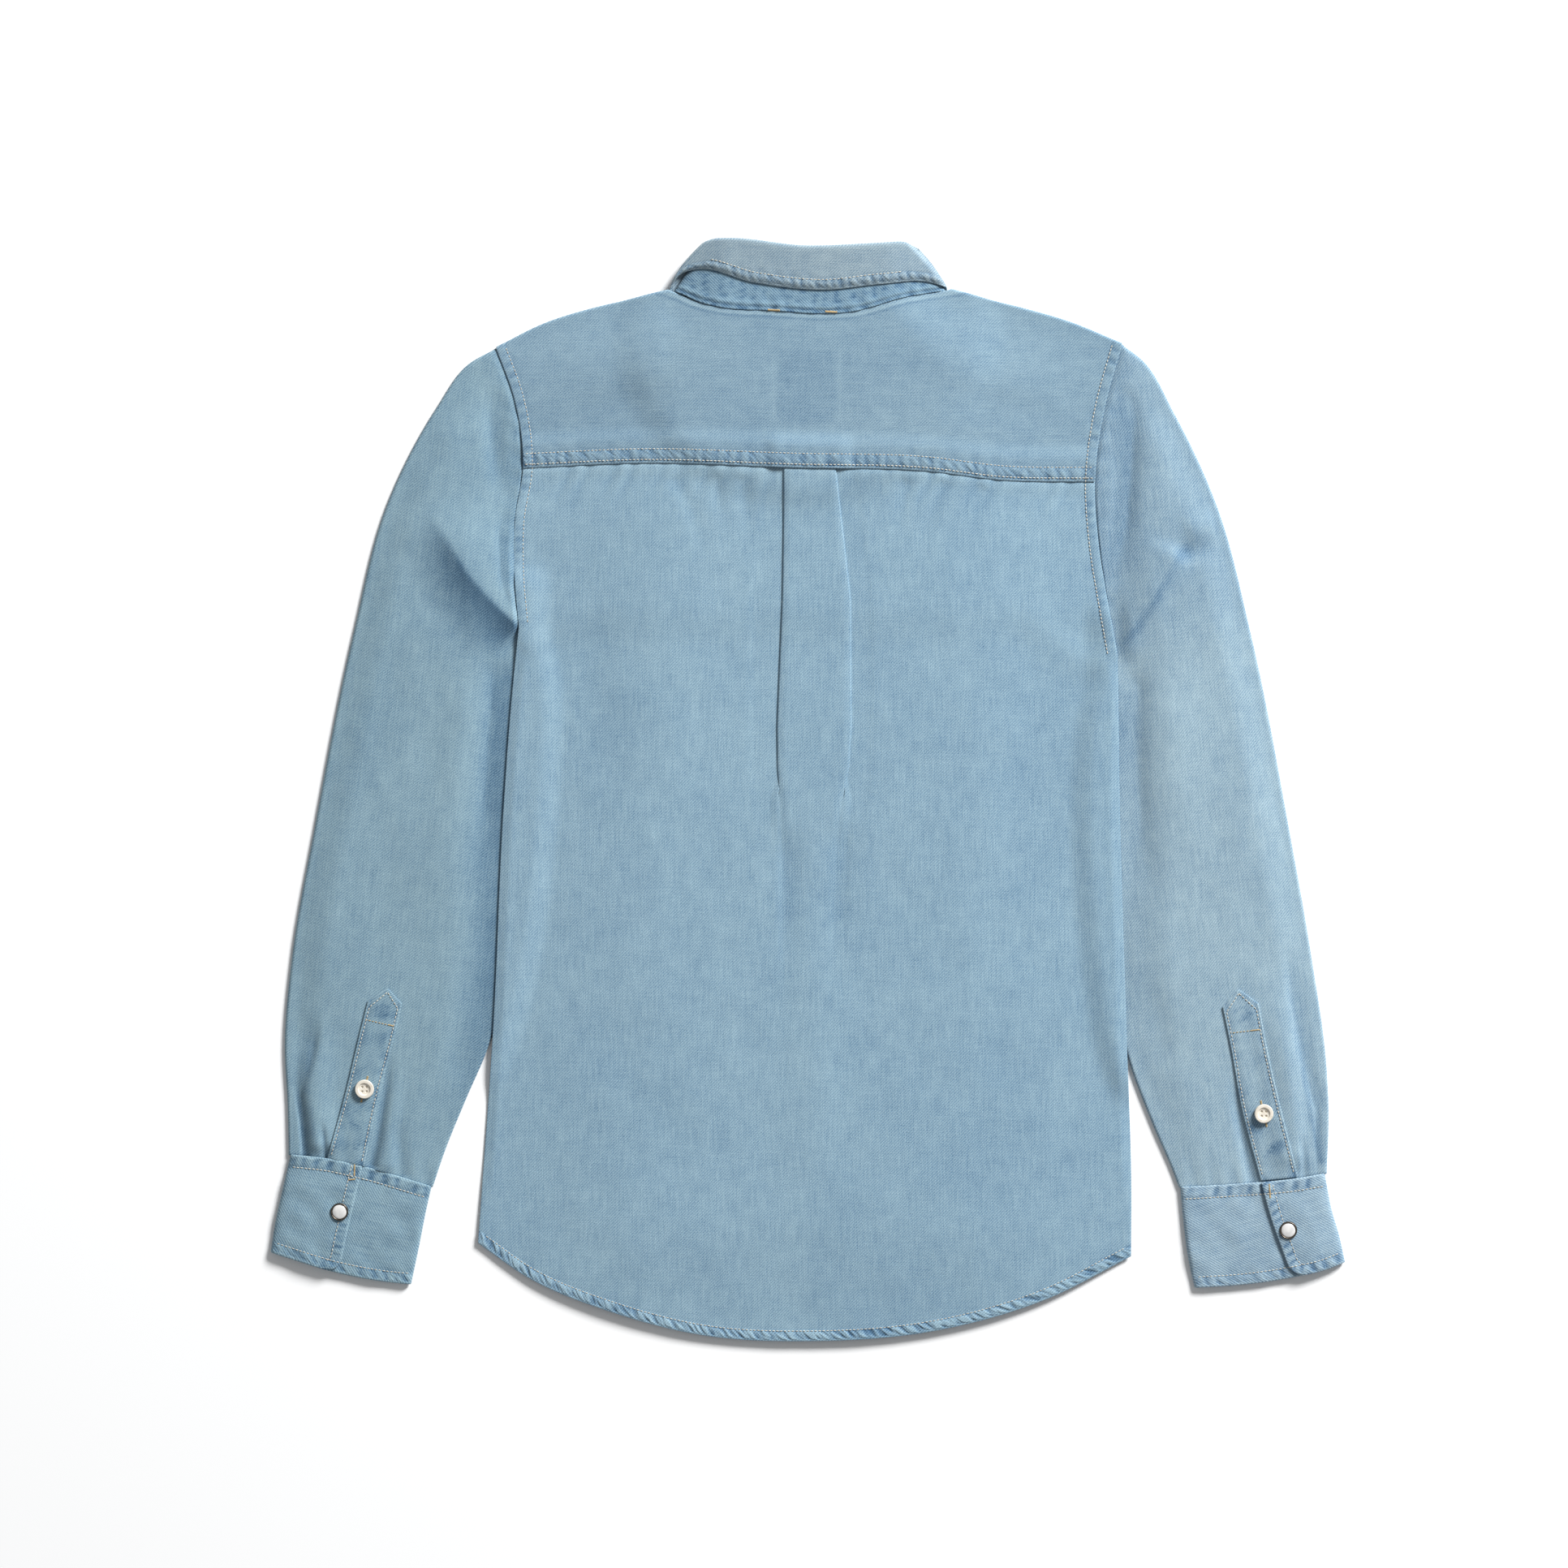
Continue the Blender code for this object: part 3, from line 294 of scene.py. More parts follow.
def near(chain, x, y):
    """How far along a chain each place is, and how far it lies to the chain's left."""
    places = np.stack([np.ravel(x), np.ravel(y)], axis=1)
    run = np.gradient(chain, axis=0)
    run /= np.linalg.norm(run, axis=1)[:, None]
    length = np.concatenate([[0.0], np.cumsum(np.linalg.norm(np.diff(chain, axis=0), axis=1))])
    reach, off = np.empty(len(places)), np.empty(len(places))
    for start in range(0, len(places), 20000):
        block = places[start : start + 20000]
        aside = block[:, None] - chain[None]
        closest = (aside[..., 0] ** 2 + aside[..., 1] ** 2).argmin(1)
        away = block - chain[closest]
        step = (away * run[closest]).sum(1)
        side = run[closest, 0] * away[:, 1] - run[closest, 1] * away[:, 0]
        reach[start : start + 20000] = length[closest] + step
        off[start : start + 20000] = side
    return reach.reshape(np.shape(x)), off.reshape(np.shape(x))


def ripple(x, y, size, seed, stretch=1.0):
    """A smooth uneven field between about -1 and 1, with bumps of a size."""
    rng = np.random.default_rng(seed)
    total = np.zeros_like(x)
    for _ in range(14):
        angle, phase = rng.uniform(0, 2 * pi, 2)
        rate = 2 * pi / size * rng.uniform(0.6, 1.5)
        total = total + np.sin(rate * (x * cos(angle) + y * sin(angle) / stretch) + phase)
    return total / 4.0


def uneven(reach, size, seed):
    """A smooth uneven run of bumps along a seam."""
    rng = np.random.default_rng(seed)
    total = np.zeros_like(reach)
    for _ in range(7):
        total = total + np.sin(2 * pi / size * rng.uniform(0.7, 1.3) * reach + rng.uniform(0, 2 * pi))
    return np.clip(total / 2.6, -1.3, 1.3)


# A soft trough (negative) or ridge (positive) in the cloth: its ends, how far it bows to its left,
# its depth, its half width, how much gentler its left side is, and how soon it starts and ends
Crease = namedtuple("Crease", "x0 y0 x1 y1 bow depth width lean start end")


def creases(x, y, table):
    total = np.zeros_like(x)
    for row in table:
        run = np.array([row.x1 - row.x0, row.y1 - row.y0])
        length = np.hypot(*run)
        run = run / length
        share = ((x - row.x0) * run[0] + (y - row.y0) * run[1]) / length
        off = run[0] * (y - row.y0) - run[1] * (x - row.x0)
        inside = np.clip(share, 0.0, 1.0)
        off = off - row.bow * 4 * inside * (1 - inside)
        width = np.where(off > 0, row.width * (1 + row.lean), row.width * (1 - row.lean))
        window = ease(share / max(row.start, 0.01)) * ease((1 - share) / max(row.end, 0.01))
        total = total + row.depth * window * bell(off, 0.0, width)
    return total


# A fold that stands up: its crest, height, how far it falls on its left (or, below 0, its right),
# how far it falls gently on the other side, how sudden its fall is, and how soon it starts and ends
Ridge = namedtuple("Ridge", "crest height fall gentle sudden start end")


def beside_crest(row, x, y):
    """How far along a fold's crest each place is, as a share, and how far on its falling side."""
    chain = smooth(row.crest, 60)
    reach, off = near(chain, x, y)
    return reach / chain_length(chain), off * np.sign(row.fall)


def ridges(x, y, table):
    """The height that standing folds add."""
    total = np.zeros_like(x)
    for row in table:
        share, off = beside_crest(row, x, y)
        window = ease(share / row.start) * ease((1 - share) / row.end)
        fallen = np.clip(off / abs(row.fall), 0.0, 1.0)
        steep = row.sudden * (1 - fallen) ** 2 + (1 - row.sudden) * (1 - ease(fallen))
        total = total + row.height * window * np.where(off > 0, steep, 1 - ease(-off / row.gentle))
    return total


def fall_of(x, y, table):
    """How deep in a fold's fall each place lies."""
    total = np.zeros_like(x)
    for row in table:
        share, off = beside_crest(row, x, y)
        window = ease((share + 0.05) / row.start) * ease((1 - share) / row.end)
        total = total + row.height * window * ease((off + 0.5) / 1.5) * (1 - ease(off / abs(row.fall)))
    return total


def across_at(points, up):
    curve = smooth(points)
    order = np.argsort(curve[:, 1])
    return np.interp(up, curve[order, 1], curve[order, 0])


def body_edge(side, up):
    return np.abs(across_at(list(ARMHOLE[side]) + list(SIDE[side][1:]), up))


def sleeve_inner_edge(side, up):
    return np.abs(across_at(SLEEVE_INNER[side], up))


# ---------------------------------------------------------------- heights of the layers
def side_lift(x, y):
    """How far the hidden strips of the sleeves hold the body up."""
    lift = np.zeros_like(x)
    for side, sign in SIDES.items():
        ramp = ease((sign * x - sleeve_inner_edge(side, y) + 24.0) / 19.0)
        window = ease((SIDE[side][0].up + 46.0 - y) / 22.0) * ease((y + 222.0) / 30.0)
        lift = np.maximum(lift, SLEEVE_UNDER_BODY * ramp * window)
    return lift


def collar_lift(x, y):
    return COLLAR_UNDER_FRONT * ease((118.0 - np.hypot(x / 1.16, y - 305.0)) / 22.0)


def snap_lift(x, y):
    lift = np.zeros_like(x)
    for snap in FRONT_SNAPS:
        near_snap = ease((27.0 - np.abs(y - snap)) / 16.0) * ease((34.0 - np.abs(x)) / 16.0)
        lift = np.maximum(lift, SNAP_UNDER_FRONT * near_snap)
    return lift


def front_mid(side, x, y):
    lift = np.maximum(np.maximum(side_lift(x, y), collar_lift(x, y)), snap_lift(x, y))
    lapped = LAP_RISE * ease((FRONT_LAP + 16.0 - np.abs(x)) / 12.0) if side == "right" else 0.0
    return lift + lapped + CLOTH / 2


def edge_distance(x, y):
    left = body_edge("left", y) + x
    right = body_edge("right", y) - x
    return np.maximum(np.minimum(left, right), 0.0)


def shoulder_line(x):
    above_neck = line(SHOULDER["left"][0], (0.0, 420.0), SHOULDER["right"][0])
    chain = joined(SHOULDER["left"][::-1], above_neck, SHOULDER["right"])
    return np.interp(x, chain[:, 0], chain[:, 1])


def back_mid(x, y):
    """The middle of the back's and the yoke's wall, without pleat, seams or creases."""
    inside = edge_distance(x, y)
    edge = ARMHOLE_LOFT * ease((y - 95.0) / 30.0)
    fall = ease((shoulder_line(x) - y) / 60.0)
    hem_fall = 0.35 + 0.65 * ease((y + 378.0) / 90.0)
    loft = edge + BACK_LOFT * ease((inside + 4.0) / 120.0) * fall * hem_fall
    stand = 0.7 * ease((125.0 - np.hypot(x, y - 300.0)) / 30.0)
    return np.maximum(side_lift(x, y), collar_lift(x, y)) + CLOTH + 0.35 + loft + stand + CLOTH / 2


# Soft creases. Lengths in millimetres.
BACK_CREASES = (
    Crease(-16.0, -20.0, -17.0, -160.0, 2.0, -1.1, 8.0, 0.2, 0.2, 0.7),
    Crease(24.0, -15.0, 18.0, -150.0, -2.0, -0.9, 9.0, -0.2, 0.2, 0.7),
    Crease(3.0, -60.0, 2.0, -330.0, 3.0, 0.9, 20.0, 0.0, 0.4, 0.4),
    Crease(-92.0, 212.0, -70.0, 150.0, 4.0, -0.55, 5.0, 0.1, 0.05, 0.8),
    Crease(-62.0, 213.0, -52.0, 172.0, -3.0, -0.6, 4.0, -0.1, 0.05, 0.8),
    Crease(-46.0, 213.0, -40.0, 150.0, 2.0, -0.5, 5.0, 0.1, 0.05, 0.8),
    Crease(66.0, 211.0, 52.0, 160.0, 3.0, -0.6, 5.0, 0.0, 0.05, 0.8),
    Crease(92.0, 210.0, 76.0, 150.0, -3.0, -0.55, 5.0, 0.1, 0.05, 0.8),
    Crease(118.0, 206.0, 104.0, 165.0, 2.0, -0.5, 5.0, 0.0, 0.05, 0.8),
    Crease(-150.0, 160.0, -120.0, -60.0, -10.0, -0.7, 22.0, 0.2, 0.3, 0.5),
    Crease(150.0, 120.0, 126.0, -110.0, 12.0, -0.7, 24.0, 0.2, 0.3, 0.5),
    Crease(-196.0, 96.0, -120.0, 150.0, -6.0, 0.7, 11.0, 0.1, 0.05, 0.8),
    Crease(200.0, 80.0, 130.0, 140.0, 6.0, 0.7, 11.0, 0.1, 0.05, 0.8),
    Crease(-150.0, -120.0, -90.0, -300.0, 8.0, -0.6, 26.0, 0.0, 0.3, 0.4),
    Crease(160.0, -140.0, 110.0, -310.0, -8.0, -0.6, 26.0, 0.0, 0.3, 0.4),
)
YOKE_CREASES = (
    Crease(-180.0, 250.0, -60.0, 262.0, 6.0, -0.5, 14.0, 0.1, 0.4, 0.5),
    Crease(180.0, 246.0, 70.0, 262.0, -6.0, -0.5, 14.0, 0.1, 0.4, 0.5),
    Crease(-92.0, 322.0, -120.0, 268.0, 4.0, 0.5, 12.0, 0.0, 0.2, 0.7),
    Crease(92.0, 322.0, 122.0, 268.0, -4.0, 0.5, 12.0, 0.0, 0.2, 0.7),
)
SLEEVE_CREASES = {
    "left": (
        Crease(-211.0, 275.0, -206.0, 190.0, -4.0, -1.8, 6.0, 0.0, 0.3, 0.5),
        Crease(-206.0, 190.0, -200.0, 120.0, -2.0, -1.6, 5.0, 0.0, 0.3, 0.4),
        Crease(-236.0, 262.0, -262.0, 150.0, 4.0, 0.8, 12.0, 0.0, 0.3, 0.5),
        Crease(-213.0, 92.0, -232.0, -90.0, 5.0, -1.4, 9.0, 0.3, 0.1, 0.6),
        Crease(-232.0, 96.0, -262.0, -120.0, 4.0, 0.9, 12.0, 0.0, 0.2, 0.6),
        Crease(-280.0, 130.0, -312.0, -40.0, 5.0, -0.8, 16.0, 0.0, 0.4, 0.5),
        Crease(-241.0, -205.0, -222.0, -120.0, 4.0, -0.8, 9.0, 0.0, 0.3, 0.6),
        Crease(-333.0, -150.0, -347.0, -206.0, 4.0, -2.0, 6.0, -0.55, 0.5, 0.12),
        Crease(-347.6, -200.0, -341.5, -250.0, 1.0, -2.2, 2.4, 0.35, 0.15, 0.02),
        Crease(-330.0, -222.0, -326.0, -252.0, 0.0, -1.3, 2.0, -0.2, 0.5, 0.02),
        Crease(-283.0, -172.0, -296.0, -258.0, 1.5, -2.0, 3.6, 0.0, 0.5, 0.02),
        Crease(-281.0, -215.0, -276.0, -264.0, 1.0, -0.9, 5.0, 0.1, 0.6, 0.02),
    ),
    "right": (
        Crease(214.0, 278.0, 208.0, 130.0, 4.0, -2.6, 8.0, 0.0, 0.2, 0.4),
        Crease(234.0, 262.0, 252.0, 150.0, -4.0, 0.9, 12.0, 0.0, 0.3, 0.5),
        Crease(247.0, 158.0, 276.0, 172.0, -3.0, -2.2, 5.5, 0.0, 0.3, 0.6),
        Crease(252.0, 174.0, 284.0, 192.0, -3.0, 1.3, 7.0, 0.0, 0.3, 0.6),
        Crease(224.0, 84.0, 234.0, -100.0, -5.0, -1.3, 10.0, -0.3, 0.1, 0.6),
        Crease(250.0, 80.0, 264.0, -120.0, -4.0, 0.9, 14.0, 0.0, 0.2, 0.6),
        Crease(324.0, -100.0, 346.0, -222.0, -4.0, -1.7, 6.0, 0.5, 0.4, 0.1),
        Crease(346.0, -214.0, 349.0, -262.0, -1.0, -2.0, 2.4, -0.35, 0.2, 0.02),
        Crease(334.0, -232.0, 336.0, -265.0, 0.0, -1.3, 2.0, 0.2, 0.5, 0.02),
        Crease(286.0, -185.0, 301.0, -268.0, -1.5, -1.5, 3.4, 0.0, 0.5, 0.02),
        Crease(240.0, -195.0, 228.0, -120.0, -4.0, -0.8, 9.0, 0.0, 0.3, 0.6),
    ),
}


# Shade that is painted into the cloth's colour beside the folds: creases whose depth is its strength
SLEEVE_SHADES = {
    "left": (
        Crease(-196.0, 108.0, -262.0, 186.0, 3.0, 0.17, 10.0, 0.7, 0.02, 0.7),
        Crease(-204.0, 100.0, -272.0, 140.0, 6.0, 0.11, 20.0, 0.2, 0.02, 0.8),
        Crease(-347.6, -196.0, -341.5, -250.0, 1.0, 0.16, 1.6, 0.3, 0.3, 0.02),
        Crease(-284.0, -176.0, -296.0, -258.0, 1.5, 0.1, 2.4, 0.0, 0.4, 0.02),
        Crease(-329.0, -226.0, -326.0, -252.0, 0.0, 0.1, 1.4, 0.0, 0.5, 0.02),
    ),
    "right": (
        Crease(208.5, 92.0, 251.0, 160.0, -3.0, 0.13, 2.4, -0.4, 0.1, 0.25),
        Crease(206.0, 88.0, 226.0, 128.0, 0.0, 0.1, 9.0, -0.2, 0.1, 0.7),
        Crease(246.0, 160.0, 262.0, 163.0, -1.0, 0.2, 3.6, 0.0, 0.4, 0.5),
        Crease(334.0, -140.0, 348.5, -255.0, -5.0, 0.22, 2.0, -0.3, 0.7, 0.02),
        Crease(343.0, -190.0, 352.0, -255.0, -2.0, 0.1, 6.0, 0.0, 0.5, 0.02),
        Crease(337.0, -236.0, 339.0, -262.0, 0.0, 0.13, 1.4, 0.0, 0.5, 0.02),
        Crease(331.5, -244.0, 333.0, -263.0, 0.0, 0.1, 1.2, 0.0, 0.5, 0.02),
        Crease(212.0, 20.0, 204.0, 92.0, 0.0, 0.06, 7.0, 0.0, 0.4, 0.2),
    ),
}
SLEEVE_RIDGES = {
    "left": (
        Ridge(
            line((-194.0, 108.0), (-217.3, 130.1), (-230.6, 145.8), (-241.8, 163.9), (-262.0, 194.0)),
            5.4, 36.0, 60.0, 1.0, 0.05, 0.4,
        ),
        Ridge(
            line((-331.0, -250.0), (-334.0, -225.0), (-337.0, -203.0), (-327.0, -150.0)),
            2.6, 11.0, 20.0, 0.0, 0.1, 0.5,
        ),
        Ridge(line((-286.0, -262.0), (-283.0, -225.0), (-276.0, -180.0)), 1.2, -9.0, 14.0, 0.0, 0.1, 0.6),
    ),
    "right": (
        Ridge(
            line((207.0, 88.0), (223.5, 116.6), (234.9, 132.3), (246.0, 150.3), (252.0, 166.0)),
            3.0, -18.0, 26.0, 1.0, 0.15, 0.12,
        ),
        Ridge(
            line((331.0, -262.0), (328.0, -225.0), (322.0, -180.0), (308.0, -110.0)),
            2.4, -12.0, 22.0, 0.0, 0.1, 0.5,
        ),
    ),
}


# How soon the folds stand up beside the body
RIDGE_RISE = {"left": 5.0, "right": 16.0}


def sleeve_mid(side, x, y):
    """The middle of the wall of the sleeve's upper layer."""
    sign = SIDES[side]
    outer = np.abs(across_at(SLEEVE_OUTER[side], y)) - sign * x
    body = sign * x - body_edge(side, y)
    below = ease((-150.0 - y) / 40.0)
    inner = body * (1.0 - below) + below * (sign * x - sleeve_inner_edge(side, y))
    ups, puffs = np.array(SLEEVE_PUFF[::-1]).T
    rise = np.interp(y, ups, puffs) * ease((outer + 1.0) / 26.0) * ease((inner - 1.0) / 34.0)
    free = ease((outer - 1.0) / 9.0) * ease((inner + 1.0) / 10.0)
    lay = 0.3 * ripple(x, y, 95.0, 11 if side == "left" else 12, 1.8) + 0.08 * ripple(x, y, 30.0, 13, 1.6)
    crease = creases(x, y, SLEEVE_CREASES[side]) + lay
    from_inner = ease((inner + 1.0) / RIDGE_RISE[side])
    standing = ridges(x, y, SLEEVE_RIDGES[side]) * ease((outer - 1.0) / 9.0) * from_inner
    return np.maximum(SLEEVE_FLAT + rise + crease * free, SLEEVE_FLAT - 0.3 * free) + standing


# ---------------------------------------------------------------- meshes
def unit(vectors):
    return vectors / np.maximum(np.linalg.norm(vectors, axis=-1, keepdims=True), 1e-9)


def spread(stops, steps):
    """Shares from the first stop to the last, with so many steps between each two."""
    parts = [np.linspace(a, b, count, endpoint=False) for a, b, count in zip(stops, stops[1:], steps)]
    return np.concatenate(parts + [[stops[-1]]])


def grid_normals(grid, closed):
    if closed:
        across = (np.roll(grid, -1, axis=1) - np.roll(grid, 1, axis=1)) / 2
    else:
        across = np.gradient(grid, axis=1)
    return unit(np.cross(across, np.gradient(grid, axis=0)))


def add_mesh(name, vertices, faces, material, layers=None, uv=None):
    mesh = bpy.data.meshes.new(name)
    faces = np.asarray(faces, np.int32)
    mesh.vertices.add(len(vertices))
    mesh.vertices.foreach_set("co", (np.asarray(vertices) * MM).astype(np.float32).ravel())
    mesh.loops.add(faces.size)
    mesh.loops.foreach_set("vertex_index", faces.ravel())
    mesh.polygons.add(len(faces))
    mesh.polygons.foreach_set("loop_start", np.arange(0, faces.size, faces.shape[1], dtype=np.int32))
    mesh.update(calc_edges=True)
    for layer, values in (layers or {}).items():
        store = mesh.attributes.new(layer, "FLOAT_VECTOR", "POINT")
        store.data.foreach_set("vector", values.astype(np.float32).ravel())
    if uv is not None:
        coordinates = mesh.uv_layers.new(name="OFBake")
        coordinates.data.foreach_set("uv", uv[faces.ravel()].astype(np.float32).ravel())
    mesh.shade_smooth()
    mesh.materials.append(material)
    item = bpy.data.objects.new(name, mesh)
    bpy.context.scene.collection.objects.link(item)
    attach(item, BODY)
    return item


# The distance that says a place has no sewn edge
NO_SEAM = 99.0


def add_cloth(name, grid, wall, material, weave, shade, closed=False, rim=4, seam=None):
    """A wall of cloth round a grid of middle points, closed, with rounded edges.

    weave holds each point's place in the cloth; shade its paler part (wear and painted highlight), its
    deeper part (painted shade and marks) and a painted shade of its own; and seam how far it is along its
    sewn edge, how far inside that, and where the edge's band ends.
    """
    rows, columns = grid.shape[:2]
    normals = grid_normals(grid, closed)
    wall = np.broadcast_to(np.asarray(wall, float), (rows, columns))
    count = rows * columns
    index = np.arange(count).reshape(rows, columns)
    if closed:
        beside = np.roll(index, -1, axis=1)
        quads = np.stack([index[:-1], beside[:-1], beside[1:], index[1:]], axis=-1)
        loops = [index[0], index[-1, ::-1]]
    else:
        quads = np.stack([index[:-1, :-1], index[:-1, 1:], index[1:, 1:], index[1:, :-1]], axis=-1)
        loops = [np.concatenate([index[0, :-1], index[:-1, -1], index[-1, :0:-1], index[:0:-1, 0]])]
    quads = quads.reshape(-1, 4)
    middle, up, half = grid.reshape(-1, 3), normals.reshape(-1, 3), wall.reshape(-1, 1) / 2
    vertices, sources = [middle + up * half, middle - up * half], [np.arange(count), np.arange(count)]
    faces = [quads, quads[:, ::-1] + count]
    total = 2 * count
    for loop in loops:
        places, ups = middle[loop], up[loop]
        out = unit(np.cross(np.roll(places, -1, axis=0) - np.roll(places, 1, axis=0), ups))
        rings = [loop]
        for step in range(1, rim):
            angle = pi * step / rim
            vertices.append(places + half[loop] * (cos(angle) * ups + sin(angle) * out))
            sources.append(loop)
            rings.append(np.arange(total, total + len(loop)))
            total += len(loop)
        rings.append(loop + count)
        for first, second in zip(rings, rings[1:]):
            faces.append(np.stack([np.roll(first, -1), first, second, np.roll(second, -1)], axis=-1))
    source = np.concatenate(sources)
    across, down = np.meshgrid(np.linspace(0.01, 0.99, columns), np.linspace(0.01, 0.99, rows))
    uv = np.column_stack([across.ravel(), down.ravel()])[source] * (0.5, 1.0)
    uv[count : 2 * count, 0] += 0.5
    if seam is None:
        seam = np.dstack([grid[..., 0], np.full((rows, columns), NO_SEAM), np.zeros((rows, columns))])
    layers = {"weave": weave, "shade": shade, "seam": seam}
    layers = {layer: values.reshape(-1, 3)[source] for layer, values in layers.items()}
    return add_mesh(name, np.concatenate(vertices), np.concatenate(faces), material, layers, uv)


def woven(x, y, angle=0.0, piece=0.0):
    """Places in a cloth whose warp is turned by an angle from Y."""
    turn = radians(angle)
    across, up = x * cos(turn) + y * sin(turn), y * cos(turn) - x * sin(turn)
    return np.stack([across, up, np.full_like(x, piece)], axis=-1)


def shaded(detail, wear=0.0, dark=0.0, painted_shade_tint=0.0):
    """Paler on small ridges, as wash wear and painted highlight, and deeper in small hollows, as painted
    shade; with wear, a deeper part (painted shade and marks) and a painted shade of its own added.
    """
    paler = np.clip(0.55 * detail, 0.0, 1.0) + wear
    deeper = np.clip(-0.75 * detail, 0.0, 1.2) + dark
    return np.stack([paler, deeper, np.broadcast_to(painted_shade_tint, detail.shape)], axis=-1)


def seam_relief(
    reach, inside, rows, seed, ply=0.4, pull=0.2, fade=8.0, slant=0.15, pitch=6.5, blotch=1.0
):
    """A sewn edge: a thicker band, a groove at each row of stitches, and uneven puckers.

    Returns its height, and how far each place is a ridge (above 0) or a hollow (below 0).
    """
    last = max(rows)
    band = ply * ease((last + 1.2 - inside) / 1.8)
    bumps = uneven(reach + slant * inside, pitch, seed)
    outer = uneven(reach + slant * inside, pitch * 1.9, seed + 7)
    within = ease(inside / 0.9) * ease((last + 0.4 - inside) / 1.4)
    beyond = ease((last + fade - inside) / fade) * ease((inside - last) / 1.2)
    groove = sum(-bell(inside, row, 0.95) for row in rows)
    height = band + pull * (bumps * within + 0.6 * outer * beyond) + 0.3 * groove
    hollows = 0.75 * np.clip(bumps - 0.15, -1.3, 0.5) * within + 0.3 * np.clip(outer, -1.0, 0.4) * beyond
    # The second value, through shaded, paints the puckers' ridges paler (wash wear and painted highlight)
    # and their hollows and the stitch grooves deeper (painted shade).
    return height, blotch * hollows + 0.5 * groove


def tree_of(*items):
    """Finds the highest surface of some finished pieces above a place."""
    points, faces, total = [], [], 0
    for item in items:
        mesh = item.data
        points += [Vector(vertex.co) for vertex in mesh.vertices]
        faces += [[total + corner for corner in polygon.vertices] for polygon in mesh.polygons]
        total = len(points)
    return BVHTree.FromPolygons(points, faces)


def drop(tree, x, y):
    """The place and the slope that a point above (x, y) lands on."""
    place, normal, _, _ = tree.ray_cast(Vector((x * MM, y * MM, 0.1)), Vector((0.0, 0.0, -1.0)))
    return (None, None) if place is None else (np.array(place) / MM, np.array(normal))


# One stitch: place along it, thickness and rise, from end to end
STITCH_SHAPE = (
    (-0.5, 0.35, -0.24), (-0.36, 0.85, 0.02), (-0.12, 1.0, 0.13),
    (0.12, 1.0, 0.13), (0.36, 0.85, 0.02), (0.5, 0.35, -0.24),
)
STITCH_SIDES = 6


def add_stitches(
    name, tree, runs, material, pitch=STITCH, thick=THREAD, fill=0.8
):
    """Rows of stitches laid on finished pieces, as one mesh."""
    rng = np.random.default_rng(len(name) + 7)
    turn = np.arange(STITCH_SIDES) * 2 * pi / STITCH_SIDES
    ring = np.column_stack([np.cos(turn), np.sin(turn)])
    vertices, faces, total = [], [], 0
    for run in runs:
        chain = np.asarray(run, float)
        count = max(int(round(chain_length(chain) / pitch)), 1)
        for order in range(count):
            centre = (order + 0.5 + rng.uniform(-0.05, 0.05)) / count
            half = fill / 2 / count * rng.uniform(0.92, 1.05)
            a, b = along(chain, [max(centre - half, 0.0), min(centre + half, 1.0)])
            reach = b - a
            side = unit(np.array([-reach[1], reach[0], 0.0]))
            laid = []
            for share, size, rise in STITCH_SHAPE:
                spot = a + reach * (share + 0.5)
                place, normal = drop(tree, spot[0], spot[1])
                if place is None:
                    break
                normal = normal if normal[2] > 0.3 else np.array([0.0, 0.0, 1.0])
                middle = place + normal * (rise + 0.02) * thick * 2
                laid.append(middle + thick / 2 * size * (ring[:, :1] * side + ring[:, 1:] * normal))
            if len(laid) < len(STITCH_SHAPE):
                continue
            vertices += laid
            for low in range(len(STITCH_SHAPE) - 1):
                here = total + low * STITCH_SIDES + np.arange(STITCH_SIDES)
                after = np.roll(here, -1)
                faces.append(np.column_stack([here, after, after + STITCH_SIDES, here + STITCH_SIDES]))
            total += len(STITCH_SHAPE) * STITCH_SIDES
    item = add_mesh(name, np.concatenate(vertices), np.concatenate(faces), material)
    return item


# ---------------------------------------------------------------- materials
class Nodes:
    """A material's nodes, added one after the other."""

    def __init__(self, name):
        self.material = bpy.data.materials.new(name)
        self.material.use_nodes = True
        self.tree = self.material.node_tree
        self.shader = self.tree.nodes["Principled BSDF"]

    def feed(self, socket, value):
        if isinstance(value, bpy.types.NodeSocket):
            self.tree.links.new(value, socket)
        else:
            socket.default_value = value

    def add(self, kind, inputs=(), **settings):
        node = self.tree.nodes.new(kind)
        for key, value in settings.items():
            setattr(node, key, value)
        for key, value in dict(inputs).items():
            self.feed(node.inputs[key], value)
        return node

    def math(self, operation, *values):
        return self.add("ShaderNodeMath", enumerate(values), operation=operation).outputs[0]

    def total(self, *values):
        result = values[0]
        for value in values[1:]:
            result = self.math("ADD", result, value)
        return result

    def noise(self, vector, scale, detail=2.0, rough=0.5):
        """Noise about 0, from about -1 to 1, with its own rate along each axis."""
        stretch = self.add("ShaderNodeVectorMath", {0: vector, 1: scale}, operation="MULTIPLY")
        inputs = {"Vector": stretch.outputs[0], "Scale": 1.0, "Detail": detail, "Roughness": rough}
        value = self.add("ShaderNodeTexNoise", inputs).outputs["Fac"]
        return self.math("MULTIPLY_ADD", value, 4.0, -2.0)

    def gate(self, value, low, high):
        """0 below low, 1 above high and smooth between."""
        inputs = {"Value": value, "From Min": low, "From Max": high}
        return self.add("ShaderNodeMapRange", inputs, interpolation_type="SMOOTHSTEP").outputs[0]

    def ramp(self, value, stops):
        node = self.add("ShaderNodeValToRGB", {"Fac": value})
        while len(node.color_ramp.elements) < len(stops):
            node.color_ramp.elements.new(0.5)
        for element, (place, colour) in zip(node.color_ramp.elements, stops):
            element.position = place
            element.color = (*colour, 1.0)
        return node.outputs["Color"]

    def bump(self, height, reach):
        return self.add("ShaderNodeBump", {"Height": height, "Distance": reach, "Strength": 1.0}).outputs[0]


